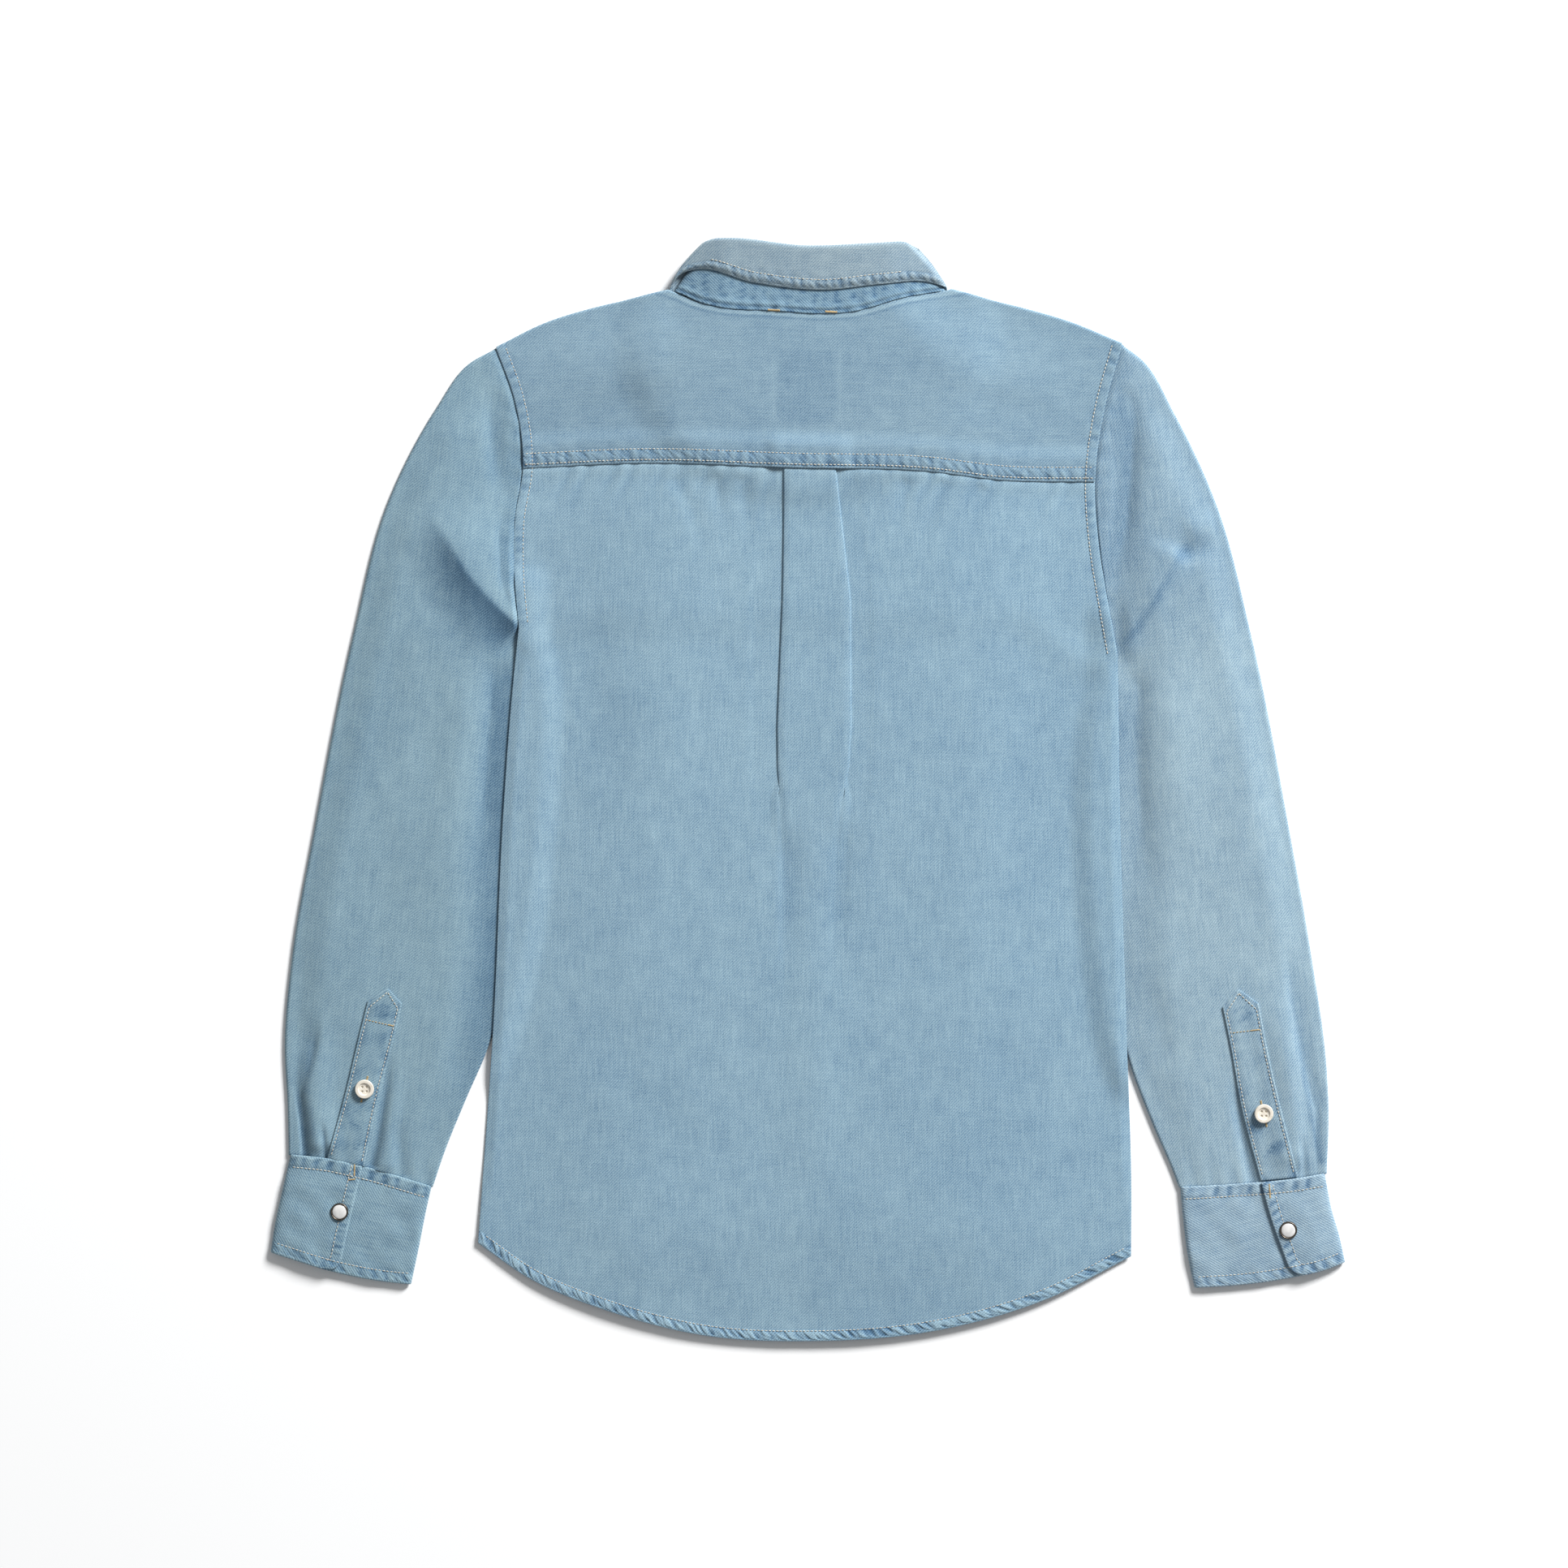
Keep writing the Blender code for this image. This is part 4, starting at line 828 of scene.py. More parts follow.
def linear(red, green, blue):
    """A display colour of 0 to 255 as linear light."""
    share = np.array([red, green, blue]) / 255.0
    return tuple(np.where(share > 0.04045, ((share + 0.055) / 1.055) ** 2.4, share / 12.92))


WALE = 1.45
ROPE_SLANT = 0.95
ROPE_RATE = 0.24


def denim(name, colour, slope=1.0, streak=1.0, rope=0.4):
    """Washed denim: a broken twill that leans by slope, streaky yarns, mottling, wear, seam ropes, and
    painted highlight and painted shade from the shade attribute.
    """
    make = Nodes(name)
    base = np.array(linear(*colour))
    weave = make.add("ShaderNodeAttribute", attribute_name="weave").outputs["Vector"]
    shade = make.add("ShaderNodeAttribute", attribute_name="shade").outputs["Vector"]
    shade = make.add("ShaderNodeSeparateXYZ", {0: shade}).outputs
    yarns = make.noise(weave, (0.95, 0.045, 1.0), 3.0, 0.6)
    slubs = make.noise(weave, (0.06, 0.8, 1.0), 2.0)
    mottle = make.noise(weave, (0.11, 0.09, 1.0), 4.0, 0.55)
    broad = make.noise(weave, (0.022, 0.018, 1.0), 2.0)
    grain = make.noise(weave, (1.5, 1.2, 1.0), 2.0, 0.7)
    lean = 2 * pi / WALE * 0.7071
    wales = {0: weave, 1: (lean, -slope * lean, 0.0)}
    run = make.add("ShaderNodeVectorMath", wales, operation="DOT_PRODUCT").outputs["Value"]
    broken = make.math("MULTIPLY_ADD", grain, 0.9, run)
    twill = make.math("SINE", broken)
    tone_and_painted_shade = make.math("MULTIPLY_ADD", yarns, 0.12 * streak, 0.5)
    for field, share in ((slubs, 0.05), (mottle, 0.075), (broad, 0.05), (grain, 0.21), (twill, 0.17)):
        tone_and_painted_shade = make.math("MULTIPLY_ADD", field, share, tone_and_painted_shade)
    # The shade attribute: its first part paints wear and painted highlight paler, its second paints shade
    # deeper, and its third, added below, is a painted shade of its own.
    tone_and_painted_shade = make.math("MULTIPLY_ADD", shade[0], 0.26, tone_and_painted_shade)
    tone_and_painted_shade = make.math("MULTIPLY_ADD", shade[1], -0.42, tone_and_painted_shade)
    seam = make.add("ShaderNodeAttribute", attribute_name="seam").outputs["Vector"]
    reach, inside, last = make.add("ShaderNodeSeparateXYZ", {0: seam}).outputs
    lean_in = make.math("MULTIPLY_ADD", inside, ROPE_SLANT, reach)
    across_seam = make.math("MULTIPLY", inside, 0.25)
    on_seam = make.add("ShaderNodeCombineXYZ", {0: lean_in, 1: across_seam, 2: last}).outputs[0]
    ropes = make.noise(on_seam, (ROPE_RATE, 0.5, 1.0), 1.0, 0.4)
    from_row = make.math("SUBTRACT", last, inside)
    window = make.math("MULTIPLY", make.gate(inside, 0.3, 1.4), make.gate(from_row, -0.2, 1.6))
    ropes = make.math("MULTIPLY", make.math("MINIMUM", make.math("SUBTRACT", ropes, 0.1), 0.45), window)
    tone_and_painted_shade = make.math("MULTIPLY_ADD", ropes, 0.38 * rope, tone_and_painted_shade)
    tone_and_painted_shade = make.total(tone_and_painted_shade, shade[2])
    deep = base * (0.26, 0.38, 0.52)
    dusk = base * (0.62, 0.73, 0.85)
    light = base * (1.28, 1.25, 1.2)
    pale = base * (1.72, 1.58, 1.46)
    stops = ((0.0, deep), (0.28, dusk), (0.5, base), (0.72, light), (1.0, pale))
    make.feed(make.shader.inputs["Base Color"], make.ramp(tone_and_painted_shade, stops))
    height = make.total(make.math("MULTIPLY", twill, 0.5), make.math("MULTIPLY", grain, 0.8))
    height = make.math("MULTIPLY_ADD", yarns, 0.3, height)
    puckered = make.bump(ropes, 0.0006 * rope)
    inputs = {"Height": height, "Distance": 0.00008, "Strength": 1.0, "Normal": puckered}
    make.feed(make.shader.inputs["Normal"], make.add("ShaderNodeBump", inputs).outputs[0])
    make.feed(make.shader.inputs["Roughness"], make.math("MULTIPLY_ADD", mottle, 0.04, 0.88))
    make.shader.inputs["Specular IOR Level"].default_value = 0.18
    make.shader.inputs["Sheen Weight"].default_value = 0.12
    make.shader.inputs["Sheen Roughness"].default_value = 0.5
    return make.material


def thread(name, colour, spread_of=0.35):
    """Spun thread: twisted plies and an uneven dye."""
    make = Nodes(name)
    base = np.array(linear(*colour))
    place = make.add("ShaderNodeTexCoord").outputs["Object"]
    uneven_dye = make.noise(place, (420.0, 420.0, 420.0), 2.0)
    twist = make.noise(place, (5200.0, 2600.0, 4000.0), 2.0)
    value = make.math("MULTIPLY_ADD", uneven_dye, 0.16, make.math("MULTIPLY_ADD", twist, 0.2, 0.5))
    colours = ((0.0, base * (1 - spread_of)), (0.5, base), (1.0, np.minimum(base * (1 + spread_of), 1.0)))
    make.feed(make.shader.inputs["Base Color"], make.ramp(value, colours))
    make.feed(make.shader.inputs["Normal"], make.bump(twist, 0.00006))
    make.feed(make.shader.inputs["Roughness"], make.math("MULTIPLY_ADD", uneven_dye, 0.05, 0.7))
    make.shader.inputs["Sheen Weight"].default_value = 0.15
    return make.material


def horn():
    """A clouded grey-beige button with fine turning marks."""
    make = Nodes("button")
    place = make.add("ShaderNodeTexCoord").outputs["Object"]
    cloud = make.noise(place, (260.0, 420.0, 300.0), 4.0, 0.6)
    fine = make.noise(place, (1800.0, 1800.0, 1800.0), 2.0)
    value = make.math("MULTIPLY_ADD", cloud, 0.22, 0.5)
    colours = ((0.0, linear(192, 180, 160)), (0.5, linear(228, 220, 206)), (1.0, linear(242, 238, 230)))
    make.feed(make.shader.inputs["Base Color"], make.ramp(value, colours))
    make.feed(make.shader.inputs["Normal"], make.bump(fine, 0.00002))
    make.feed(make.shader.inputs["Roughness"], make.math("MULTIPLY_ADD", fine, 0.06, 0.34))
    make.shader.inputs["Coat Weight"].default_value = 0.2
    return make.material


def pearl_cap():
    """A pearly cap: pale grey with clouded nacre."""
    make = Nodes("pearl")
    place = make.add("ShaderNodeTexCoord").outputs["Object"]
    cloud = make.noise(place, (330.0, 210.0, 300.0), 4.0, 0.6)
    waves = make.noise(place, (900.0, 500.0, 700.0), 2.0)
    value = make.math("MULTIPLY_ADD", cloud, 0.25, make.math("MULTIPLY_ADD", waves, 0.08, 0.5))
    colours = ((0.0, linear(176, 178, 180)), (0.5, linear(219, 218, 216)), (1.0, linear(242, 240, 236)))
    make.feed(make.shader.inputs["Base Color"], make.ramp(value, colours))
    make.feed(make.shader.inputs["Roughness"], make.math("MULTIPLY_ADD", waves, 0.04, 0.22))
    make.shader.inputs["Coat Weight"].default_value = 0.4
    make.shader.inputs["Coat Roughness"].default_value = 0.1
    return make.material


def snap_metal():
    """Dark plated brass, rubbed brighter in places."""
    make = Nodes("snap_metal")
    place = make.add("ShaderNodeTexCoord").outputs["Object"]
    rubbed = make.noise(place, (700.0, 700.0, 500.0), 4.0, 0.6)
    value = make.math("MULTIPLY_ADD", rubbed, 0.25, 0.5)
    colours = ((0.0, linear(52, 46, 42)), (0.5, linear(98, 90, 82)), (1.0, linear(176, 164, 146)))
    make.feed(make.shader.inputs["Base Color"], make.ramp(value, colours))
    make.feed(make.shader.inputs["Roughness"], make.math("MULTIPLY_ADD", rubbed, 0.08, 0.36))
    make.shader.inputs["Metallic"].default_value = 1.0
    return make.material


BACK_DENIM = denim("denim_back", (133, 161, 178), rope=1.0)
YOKE_DENIM = denim("denim_yoke", (127, 153, 169), -1.0, 0.7)
# The sleeves and cuffs are one cloth: their left and right colours differ to paint the light's fall across
# the shirt, darker on the left, paler on the right.
SLEEVE_DENIM = {
    "left": denim("denim_sleeve_left", (127, 154, 168)),
    "right": denim("denim_sleeve_right", (142, 166, 180)),
}
FRONT_DENIM = denim("denim_front", (132, 158, 174))
# The left and right cuff colours paint the light's fall, as on the sleeves.
CUFF_DENIM = {
    "left": denim("denim_cuff_left", (127, 154, 168)),
    "right": denim("denim_cuff_right", (141, 164, 179)),
}
LEAF_DENIM = denim("denim_leaf", (137, 156, 167), -1.0, 0.7)
STAND_DENIM = denim("denim_stand", (116, 145, 164))
PALE_THREAD = thread("thread_pale", (206, 202, 188))
GOLD_THREAD = thread("thread_gold", (192, 168, 122))
HORN = horn()
PEARL = pearl_cap()
METAL = snap_metal()


# ---------------------------------------------------------------- the pieces
def body_outline(side):
    return joined(ARMHOLE[side], SIDE[side])


def inside_of(side, chain, x, y):
    reach, off = near(chain, x, y)
    return reach, (off if side == "left" else -off)


def armhole_relief(x, y):
    """The seam band along both armholes, which the side seams don't have."""
    height, detail = np.zeros_like(x), np.zeros_like(x)
    for side, sign in SIDES.items():
        close = sign * x > body_edge(side, y) - 26.0
        window = ease((y - SIDE[side][0].up + 6.0) / 10.0) * close
        reach, inside = inside_of(side, body_outline(side), x[close], y[close])
        seed = 21 if side == "left" else 22
        relief, marks = seam_relief(reach, inside, (ARM_ROW,), seed, 0.35, 0.15, 7.0, 0.1, 8.0, 0.75)
        height[close] += relief * window[close]
        detail[close] += marks * window[close]
    return height, detail


def back_detail(x, y):
    """Creases, seam bands and the lie of the cloth on the back."""
    height, detail = armhole_relief(x, y)
    reach, inside = near(joined(HEM), x, y)
    low = inside < 24.0
    relief, marks = seam_relief(reach[low], inside[low], (ROW_GAUGE,), 31, 0.5, 0.06, 7.0, 0.0, 16.0, 0.15)
    height[low] += relief
    detail[low] += marks
    soft = creases(x, y, BACK_CREASES)
    inner = ease(edge_distance(x, y) / 16.0)
    lay = (0.22 * ripple(x, y, 150.0, 41, 2.0) + 0.07 * ripple(x, y, 34.0, 42, 1.7)) * inner
    gathers = yoke_gathers(x, y)
    # The second value goes to shaded: painted shade in creases, hollows and stitch grooves, and painted
    # highlight with wash wear on the ridges.
    return height + soft + lay + gathers, detail + 0.25 * soft + gathers * 1.2


def seam_places(x, y, *edges):
    """For each place: how far along its nearest sewn edge, how far inside it, and where that band ends."""
    best = np.dstack([x, np.full_like(x, NO_SEAM), np.zeros_like(x)])
    for order, (chain, band) in enumerate(edges, 1):
        reach, off = near(chain, x, y)
        inside = np.abs(off)
        closer = inside < best[..., 1]
        best[closer] = np.dstack([reach + 1000.0 * order, inside, np.full_like(x, band)])[closer]
    return best


def yoke_line(x):
    seam = joined(YOKE_SEAM)
    return np.interp(x, seam[:, 0], seam[:, 1])


def yoke_gathers(x, y):
    """Short uneven pulls that run down from the yoke's seam."""
    below = yoke_line(x) - y
    gathers = 0.3 * uneven(x + 0.45 * below, 13.0, 51) * ease(1.0 - below / 34.0)
    return (gathers + 0.5 * ease(1.0 - below / 12.0)) * ease((below + 1.0) / 2.0)


def make_back():
    under_yoke = np.array([(point.across, point.up + YOKE_LAP) for point in YOKE_SEAM])
    for end, side in ((0, "left"), (-1, "right")):
        under_yoke[end, 0] = across_at(ARMHOLE[side], under_yoke[end, 1])
    top, hem = joined(under_yoke), joined(HEM)
    edges = {}
    for side in SIDES:
        armhole = joined(ARMHOLE[side])
        start = top[0] if side == "left" else top[-1]
        below_yoke = armhole[armhole[:, 1] < start[1] - 1.0]
        edges[side] = np.concatenate([[start], below_yoke, joined(SIDE[side])[1:]])
    ups, lefts, rights, overhangs, rises = np.array(BOX_PLEAT[::-1]).T
    outward = spread((0.0, 0.05, 1.0), (8, 84))
    fold = smooth([(station.under, station.plies, station.flat) for station in PLEAT_FOLD], 25)
    grid = []
    for share in spread((0.0, 0.06, 0.97, 1.0), (16, 130, 14)):
        ends = patch(top, hem, edges["left"], edges["right"], np.array([0.0, 0.5, 1.0]), share)
        up, width = ends[1, 1], ends[2, 0] - ends[0, 0]
        left, right = np.interp(up, ups, lefts), np.interp(up, ups, rights)
        hang, rise = np.interp(up, ups, overhangs), np.interp(up, ups, rises)
        shift = hang * fold[:, 0] * PLEAT_DEPTH + (1 - hang) * fold[:, 2]
        lift = rise * fold[:, 1] * PLEAT_PLY
        left_part = ends[0, 0] + (left + shift[0] - ends[0, 0]) * outward[:-1]
        right_part = ends[2, 0] + (right - shift[0] - ends[2, 0]) * outward[:-1]
        over = np.linspace(left + shift[-1], right - shift[-1], 10)[1:-1]
        x = np.concatenate([left_part, left + shift, over, right - shift[::-1], right_part[::-1]])
        plain, top_lift = np.zeros(len(outward) - 1), np.full(len(over), lift[-1])
        raised = np.concatenate([plain, lift, top_lift, lift[::-1], plain])
        flat = patch(top, hem, edges["left"], edges["right"], (x - ends[0, 0]) / width, share)
        grid.append(np.column_stack([flat, raised]))
    grid = np.array(grid)
    x, y, raised = grid[..., 0], grid[..., 1], grid[..., 2]
    height, detail = back_detail(x, y)
    under = ease((y - yoke_line(x) + 2.0) / 4.0)
    rolled = SIDE_ROLL * ease(1.0 - edge_distance(x, y) / 7.0) * ease((SIDE["left"][0].up - 8.0 - y) / 24.0)
    grid[..., 2] = back_mid(x, y) + raised + height * (1 - under) - rolled * ease((y + 300.0) / 60.0)
    folded = np.clip(raised / PLEAT_PLY, 0.0, 2.0)
    edge_wear = 0.35 * bell(folded, 1.6, 0.35) * (raised > 0.05)
    # Painted shade: deeper where the back lies under the yoke's edge, and in a line just right of the box
    # pleat's right edge, beside its fold.
    beside_pleat = x - np.interp(y, ups, rights)
    painted_pleat_shadow = 1.1 * bell(beside_pleat, 1.2, 1.5) * (folded < 0.5)
    painted_pleat_shadow = painted_pleat_shadow * np.interp(y, ups, overhangs)
    shade = shaded(detail * (1 - under), edge_wear * (x < 0.0), 0.25 * under + painted_pleat_shadow)
    in_pleat = ease((np.interp(y, ups, rights) + PLEAT_DEPTH + 6.0 - np.abs(x - 2.0)) / 5.0)
    hem_edge = near(hem, x, y)[1]
    arm_edge = edge_distance(x, y)
    thin = np.maximum(in_pleat * np.interp(y, ups, rises), 1.0 - ease(np.minimum(hem_edge, arm_edge) / 2.0))
    wall = CLOTH - (CLOTH - PRESSED_EDGE) * thin
    seam = seam_places(x, y, (joined(HEM), ROW_GAUGE + 0.6))
    item = add_cloth("back_cloth", grid, wall, BACK_DENIM, woven(x, y), shade, seam=seam)
    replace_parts(item, "back")
    return item


# How far the yoke rises over the box pleat, in its plies, and how far that reaches from the middle
OVER_PLEAT_PLIES = 2.2
OVER_PLEAT_REACH = 33.0


def make_yoke():
    lower = joined(YOKE_SEAM)
    upper = joined(SHOULDER["left"][::-1], BACK_NECK, SHOULDER["right"])
    cuts = {}
    for side, end in (("left", 0), ("right", -1)):
        armhole = joined(ARMHOLE[side])
        cuts[side] = np.concatenate([armhole[armhole[:, 1] > lower[end, 1] + 1.0], [lower[end]]])
    left_share = chain_length(joined(SHOULDER["left"])) / chain_length(upper)
    right_share = 1.0 - chain_length(joined(SHOULDER["right"])) / chain_length(upper)
    stops = (0.0, 0.03, left_share, right_share, 0.97, 1.0)
    across = spread(stops, (12, 44, 84, 44, 12))
    down = spread((0.0, 0.05, 0.82, 1.0), (6, 34, 20))
    u, v = np.meshgrid(across, down)
    flat = patch(upper, lower, cuts["left"], cuts["right"], u, v)
    x, y = flat[..., 0], flat[..., 1]
    reach, inside = near(lower, x, y)
    lapped = 1.0 - ease((inside - YOKE_LAP - 4.0) / 12.0)
    over_pleat = OVER_PLEAT_PLIES * PLEAT_PLY * ease((OVER_PLEAT_REACH - np.abs(x)) / 12.0)
    seam, marks = seam_relief(reach, inside, (EDGE_ROW, SECOND_ROW), 61, 0.3, 0.18, 10.0, 0.1, 8.0, 0.8)
    arm, arm_marks = armhole_relief(x, y)
    lay = 0.1 * ripple(x, y, 120.0, 62, 0.8) * ease(edge_distance(x, y) / 20.0)
    soft = creases(x, y, YOKE_CREASES) + lay
    pressed = ease(inside / 2.5)
    height = (0.93 + 0.35 * pressed + over_pleat) * lapped + seam + arm + soft
    top_grid = np.dstack([x, y, back_mid(x, y) + height])
    wrap = wrap_under(top_grid[0], across, left_share, right_share)
    grid = np.concatenate([wrap[::-1], top_grid])
    spare = len(wrap)
    detail = np.concatenate([np.zeros((spare, len(across))), marks + arm_marks])
    inside_all = np.concatenate([np.full((spare, len(across)), NO_SEAM), inside])
    edge_wear = 0.3 * ease((1.6 - inside_all) / 1.6)
    # Painted highlight: a pale line on the neck seam's ridge; painted shade: a deeper line just below it.
    from_neck = np.abs(near(joined(BACK_NECK), grid[..., 0], grid[..., 1])[1])
    edge_wear = edge_wear + 0.8 * bell(from_neck, 1.5, 0.8)
    detail = detail - 0.6 * bell(from_neck, 3.6, 0.9)
    visible = inside_all < NO_SEAM - 1.0
    wall = np.where(visible, PRESSED_EDGE + (CLOTH - PRESSED_EDGE) * ease(inside_all / 2.5), CLOTH)
    label = label_shade(grid[..., 0], grid[..., 1]) * visible
    shade = shaded(detail, edge_wear + 0.3 * np.clip(-label, 0, 1), np.clip(label, 0, 1) * 0.26)
    seam_at = seam_places(grid[..., 0], grid[..., 1], (lower, SECOND_ROW))
    seam_at[:spare, :, 1] = NO_SEAM
    weave = woven(grid[..., 0], grid[..., 1], 90.0, 9.0)
    item = add_cloth("yoke_cloth", grid, wall, YOKE_DENIM, weave, shade, seam=seam_at)
    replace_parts(item, "yoke")
    return item


def wrap_under(edge, across, left_share, right_share):
    """Rows that carry the yoke round the shoulder folds to the fronts, and just under at the neck."""
    ends = np.array(edge)
    for side in SIDES:
        neck, armhole = joined(FRONT_NECK[side]), joined(ARMHOLE[side])
        front_neck = along(neck, [YOKE_WRAP / chain_length(neck)])[0]
        front_arm = along(armhole, [(YOKE_WRAP - 2.0) / chain_length(armhole)])[0]
        share = across / left_share if side == "left" else (1.0 - across) / (1.0 - right_share)
        on_shoulder = share <= 1.0
        ends[on_shoulder, :2] = front_arm + (front_neck - front_arm) * share[on_shoulder, None]
        ends[on_shoulder, 2] = CLOTH / 2
    at_neck = (across > left_share) & (across < right_share)
    ends[at_neck, 1] -= 3.0
    ends[at_neck, 2] -= 1.4
    lift = np.maximum(side_lift(ends[:, 0], ends[:, 1]), collar_lift(ends[:, 0], ends[:, 1]))
    low = np.where(at_neck, ends[:, 2], lift + CLOTH / 2)
    rows = []
    out = np.zeros_like(edge)
    out[:, 1] = 1.0
    radius = (edge[:, 2] - low) / 2
    for angle in np.linspace(0.0, pi, 9)[1:]:
        row = edge + out * (sin(angle) * np.minimum(radius, 1.2)[:, None])
        row[:, 2] = edge[:, 2] - radius * (1 - cos(angle))
        rows.append(row)
    for share in (0.04, 0.1, 0.25, 0.5, 0.75, 1.0):
        row = rows[7] * (1 - share) + ends * share
        beneath = np.maximum(side_lift(row[:, 0], row[:, 1]), collar_lift(row[:, 0], row[:, 1])) + CLOTH / 2
        row[:, 2] = np.where(at_neck, low, beneath)
        rows.append(row)
    return np.array(rows)


def label_shade(x, y):
    """The faint mark that a label leaves through the yoke: deeper, with paler sides."""
    across, up = (x + 1.4) / 20.1, (y - 272.0) / 26.0
    box = ease((1.0 - np.abs(across)) / 0.12) * ease((1.0 - np.abs(up)) / 0.1)
    sides = bell(np.abs(across), 1.12, 0.08) * ease((1.0 - np.abs(up)) / 0.3)
    blob = np.exp(-((across / 0.5) ** 2) - (((up + 0.85) / 0.16) ** 2))
    return box * 0.7 + 0.8 * blob - sides


def make_front(side):
    sign = SIDES[side]
    armhole, neck = joined(ARMHOLE[side]), joined(FRONT_NECK[side])
    wrapped = (YOKE_WRAP - 2.0) / chain_length(armhole)
    up_the_side = np.concatenate([along(armhole, np.linspace(wrapped, 1.0, 40)), joined(SIDE[side])[1:]])
    neck = neck[neck[:, 1] <= along(neck, [YOKE_WRAP / chain_length(neck)])[0, 1]]
    top = np.concatenate([[up_the_side[0] - (0.0, GAP)], neck - (0.0, GAP)])
    hem = joined(HEM) if side == "left" else joined(HEM)[::-1]
    hem = hem[sign * hem[:, 0] > -FRONT_LAP]
    hem[:, 1] += FRONT_HEM_SHORTER * ease((215.0 - np.abs(hem[:, 0])) / 40.0)
    closing = np.array([[-sign * FRONT_LAP, top[-1, 1]], hem[-1]])
    up_the_side[0] = top[0]
    u, v = np.meshgrid(spread((0.0, 0.9, 1.0), (46, 12)), spread((0.0, 0.97, 1.0), (120, 10)))
    flat = patch(top, hem, up_the_side, closing, u, v)
    x, y = flat[..., 0], flat[..., 1]
    marks = -0.3 * bell(np.abs(x + sign * FRONT_LAP), ROW_GAUGE, 1.2)
    x = x - sign * 2.2 * ease((3.0 - edge_distance(x, y)) / 3.0) * ease((SIDE[side][0].up - y) / 20.0)
    weave = woven(x, y, 0.0, 3.0 if side == "left" else 5.0)
    grid = np.dstack([x, y, front_mid(side, x, y)])
    item = add_cloth(f"front_{side}_cloth", grid, CLOTH, FRONT_DENIM, weave, shaded(marks))
    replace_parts(item, f"front_{side}")
    return item


def make_sleeve(side):
    sign = SIDES[side]
    armhole, seam = joined(ARMHOLE[side]), joined(CUFF_SEAM[side]) + (0.0, 2 * GAP)
    outer, inner = joined(SLEEVE_OUTER[side]), joined(SLEEVE_INNER[side])
    start = armhole + (sign * (CLOTH / 2 + GAP), 0.0)
    outer[0], inner[0] = start[0], start[-1]
    outer[-1], inner[-1] = seam[0], seam[-1]
    under = spread((0.012, 0.12, 0.88, 0.988), (5, 14, 5))
    over = spread((0.992, 0.9, 0.1, 0.008), (14, 66, 14))
    share = np.concatenate([under, [0.997, 1.0, 0.998], over, [0.002, 0.0, 0.003]])
    u, v = np.meshgrid(share, spread((0.0, 0.03, 0.94, 1.0), (10, 146, 18)))
    flat = patch(start, seam, outer, inner, u, v)
    x, y = flat[..., 0], flat[..., 1]
    count = len(under)
    upper = sleeve_mid(side, x, y)
    cap, cap_marks = sleeve_head(side, x, y)
    cuffed, cuff_marks = sleeve_end(side, x, y)
    upper = upper + cap + cuffed
    fold = np.concatenate([np.zeros(count), [0.17, 0.5, 0.83], np.ones(len(over)), [0.83, 0.5, 0.17]])
    z = CLOTH / 2 + (upper - CLOTH / 2) * fold
    tucked = ease((fold[None] - 0.6) / 0.3) * (v < 0.001)
    sunk = ease((fold[None] - 0.6) / 0.3) * (v < 0.004)
    x = x - sign * tucked * 1.4
    z = z - sunk * 0.45 - tucked * 0.5
    grid = np.dstack([x, y, z])
    turned = -7.6 if side == "left" else 7.0
    lay = creases(x, y, SLEEVE_CREASES[side])
    edge_wear = 0.25 * bell(fold[None], 0.9, 0.1) * np.ones_like(x)
    # Painted shade in the sleeve's colour: the body's cast shadow beside its edge under the arm, deeper on
    # the left; shade over the cap, more on the right, and beside the armhole; shade in the folds' fall, in
    # creases, and the lines of SLEEVE_SHADES. detail paints highlight and shade on creases and puckers.
    beside = np.maximum(sign * x - body_edge(side, y), 0.0)
    below_arm = ease((SIDE[side][0].up - 10.0 - y) / 30.0)
    depth = (0.26 if side == "left" else 0.08) * ease(1.0 - beside / 32.0) * below_arm
    on_cap = ease((y - SIDE[side][0].up) / 40.0)
    depth = depth + (0.08 * ease(1.0 - beside / 18.0) + (0.1 if side == "right" else 0.03)) * on_cap
    depth = depth + (0.045 if side == "left" else 0.03) * fall_of(x, y, SLEEVE_RIDGES[side])
    depth = depth - 0.035 * np.clip(lay, -3.0, 0.0) + creases(x, y, SLEEVE_SHADES[side])
    detail = np.where(fold[None] > 0.9, cap_marks + cuff_marks + 0.1 * np.clip(lay, -2.0, 1.0), 0.0)
    weave = woven(x, y, turned, 12.0 if side == "left" else 15.0)
    shade = shaded(detail, edge_wear, 0.0, -depth)
    item = add_cloth(f"sleeve_{side}_cloth", grid, CLOTH, SLEEVE_DENIM[side], weave, shade, closed=True)
    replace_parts(item, f"sleeve_{side}")
    return item


def sleeve_head(side, x, y):
    """Puckers where the sleeve is set into the armhole, with a painted shade line along the armhole beside
    the body's edge.
    """
    reach, off = inside_of(side, body_outline(side), x, y)
    away = -off
    set_in = ease((y - SIDE[side][0].up + 6.0) / 12.0)
    pucker = 0.16 * uneven(reach + 0.3 * away, 17.0, 71) * ease(1.0 - away / 14.0) * set_in
    level = 0.85 * set_in * ease((30.0 - away) / 26.0)
    line_of = -0.5 * bell(away, 0.0, 1.0) * set_in
    return pucker + level, pucker + line_of


def sleeve_end(side, x, y):
    """Gathers where the sleeve goes into the cuff, with a painted shade line along the cuff's seam."""
    seam = joined(CUFF_SEAM[side])
    order = np.argsort(seam[:, 0])
    above = y - np.interp(x, seam[order, 0], seam[order, 1])
    gather = 0.16 * uneven(x + 0.12 * above, 17.0, 81 if side == "left" else 82) * ease(1.0 - above / 30.0)
    return gather, gather - 0.7 * bell(above, 0.0, 1.2)


CUFF_ROUND = 9.0


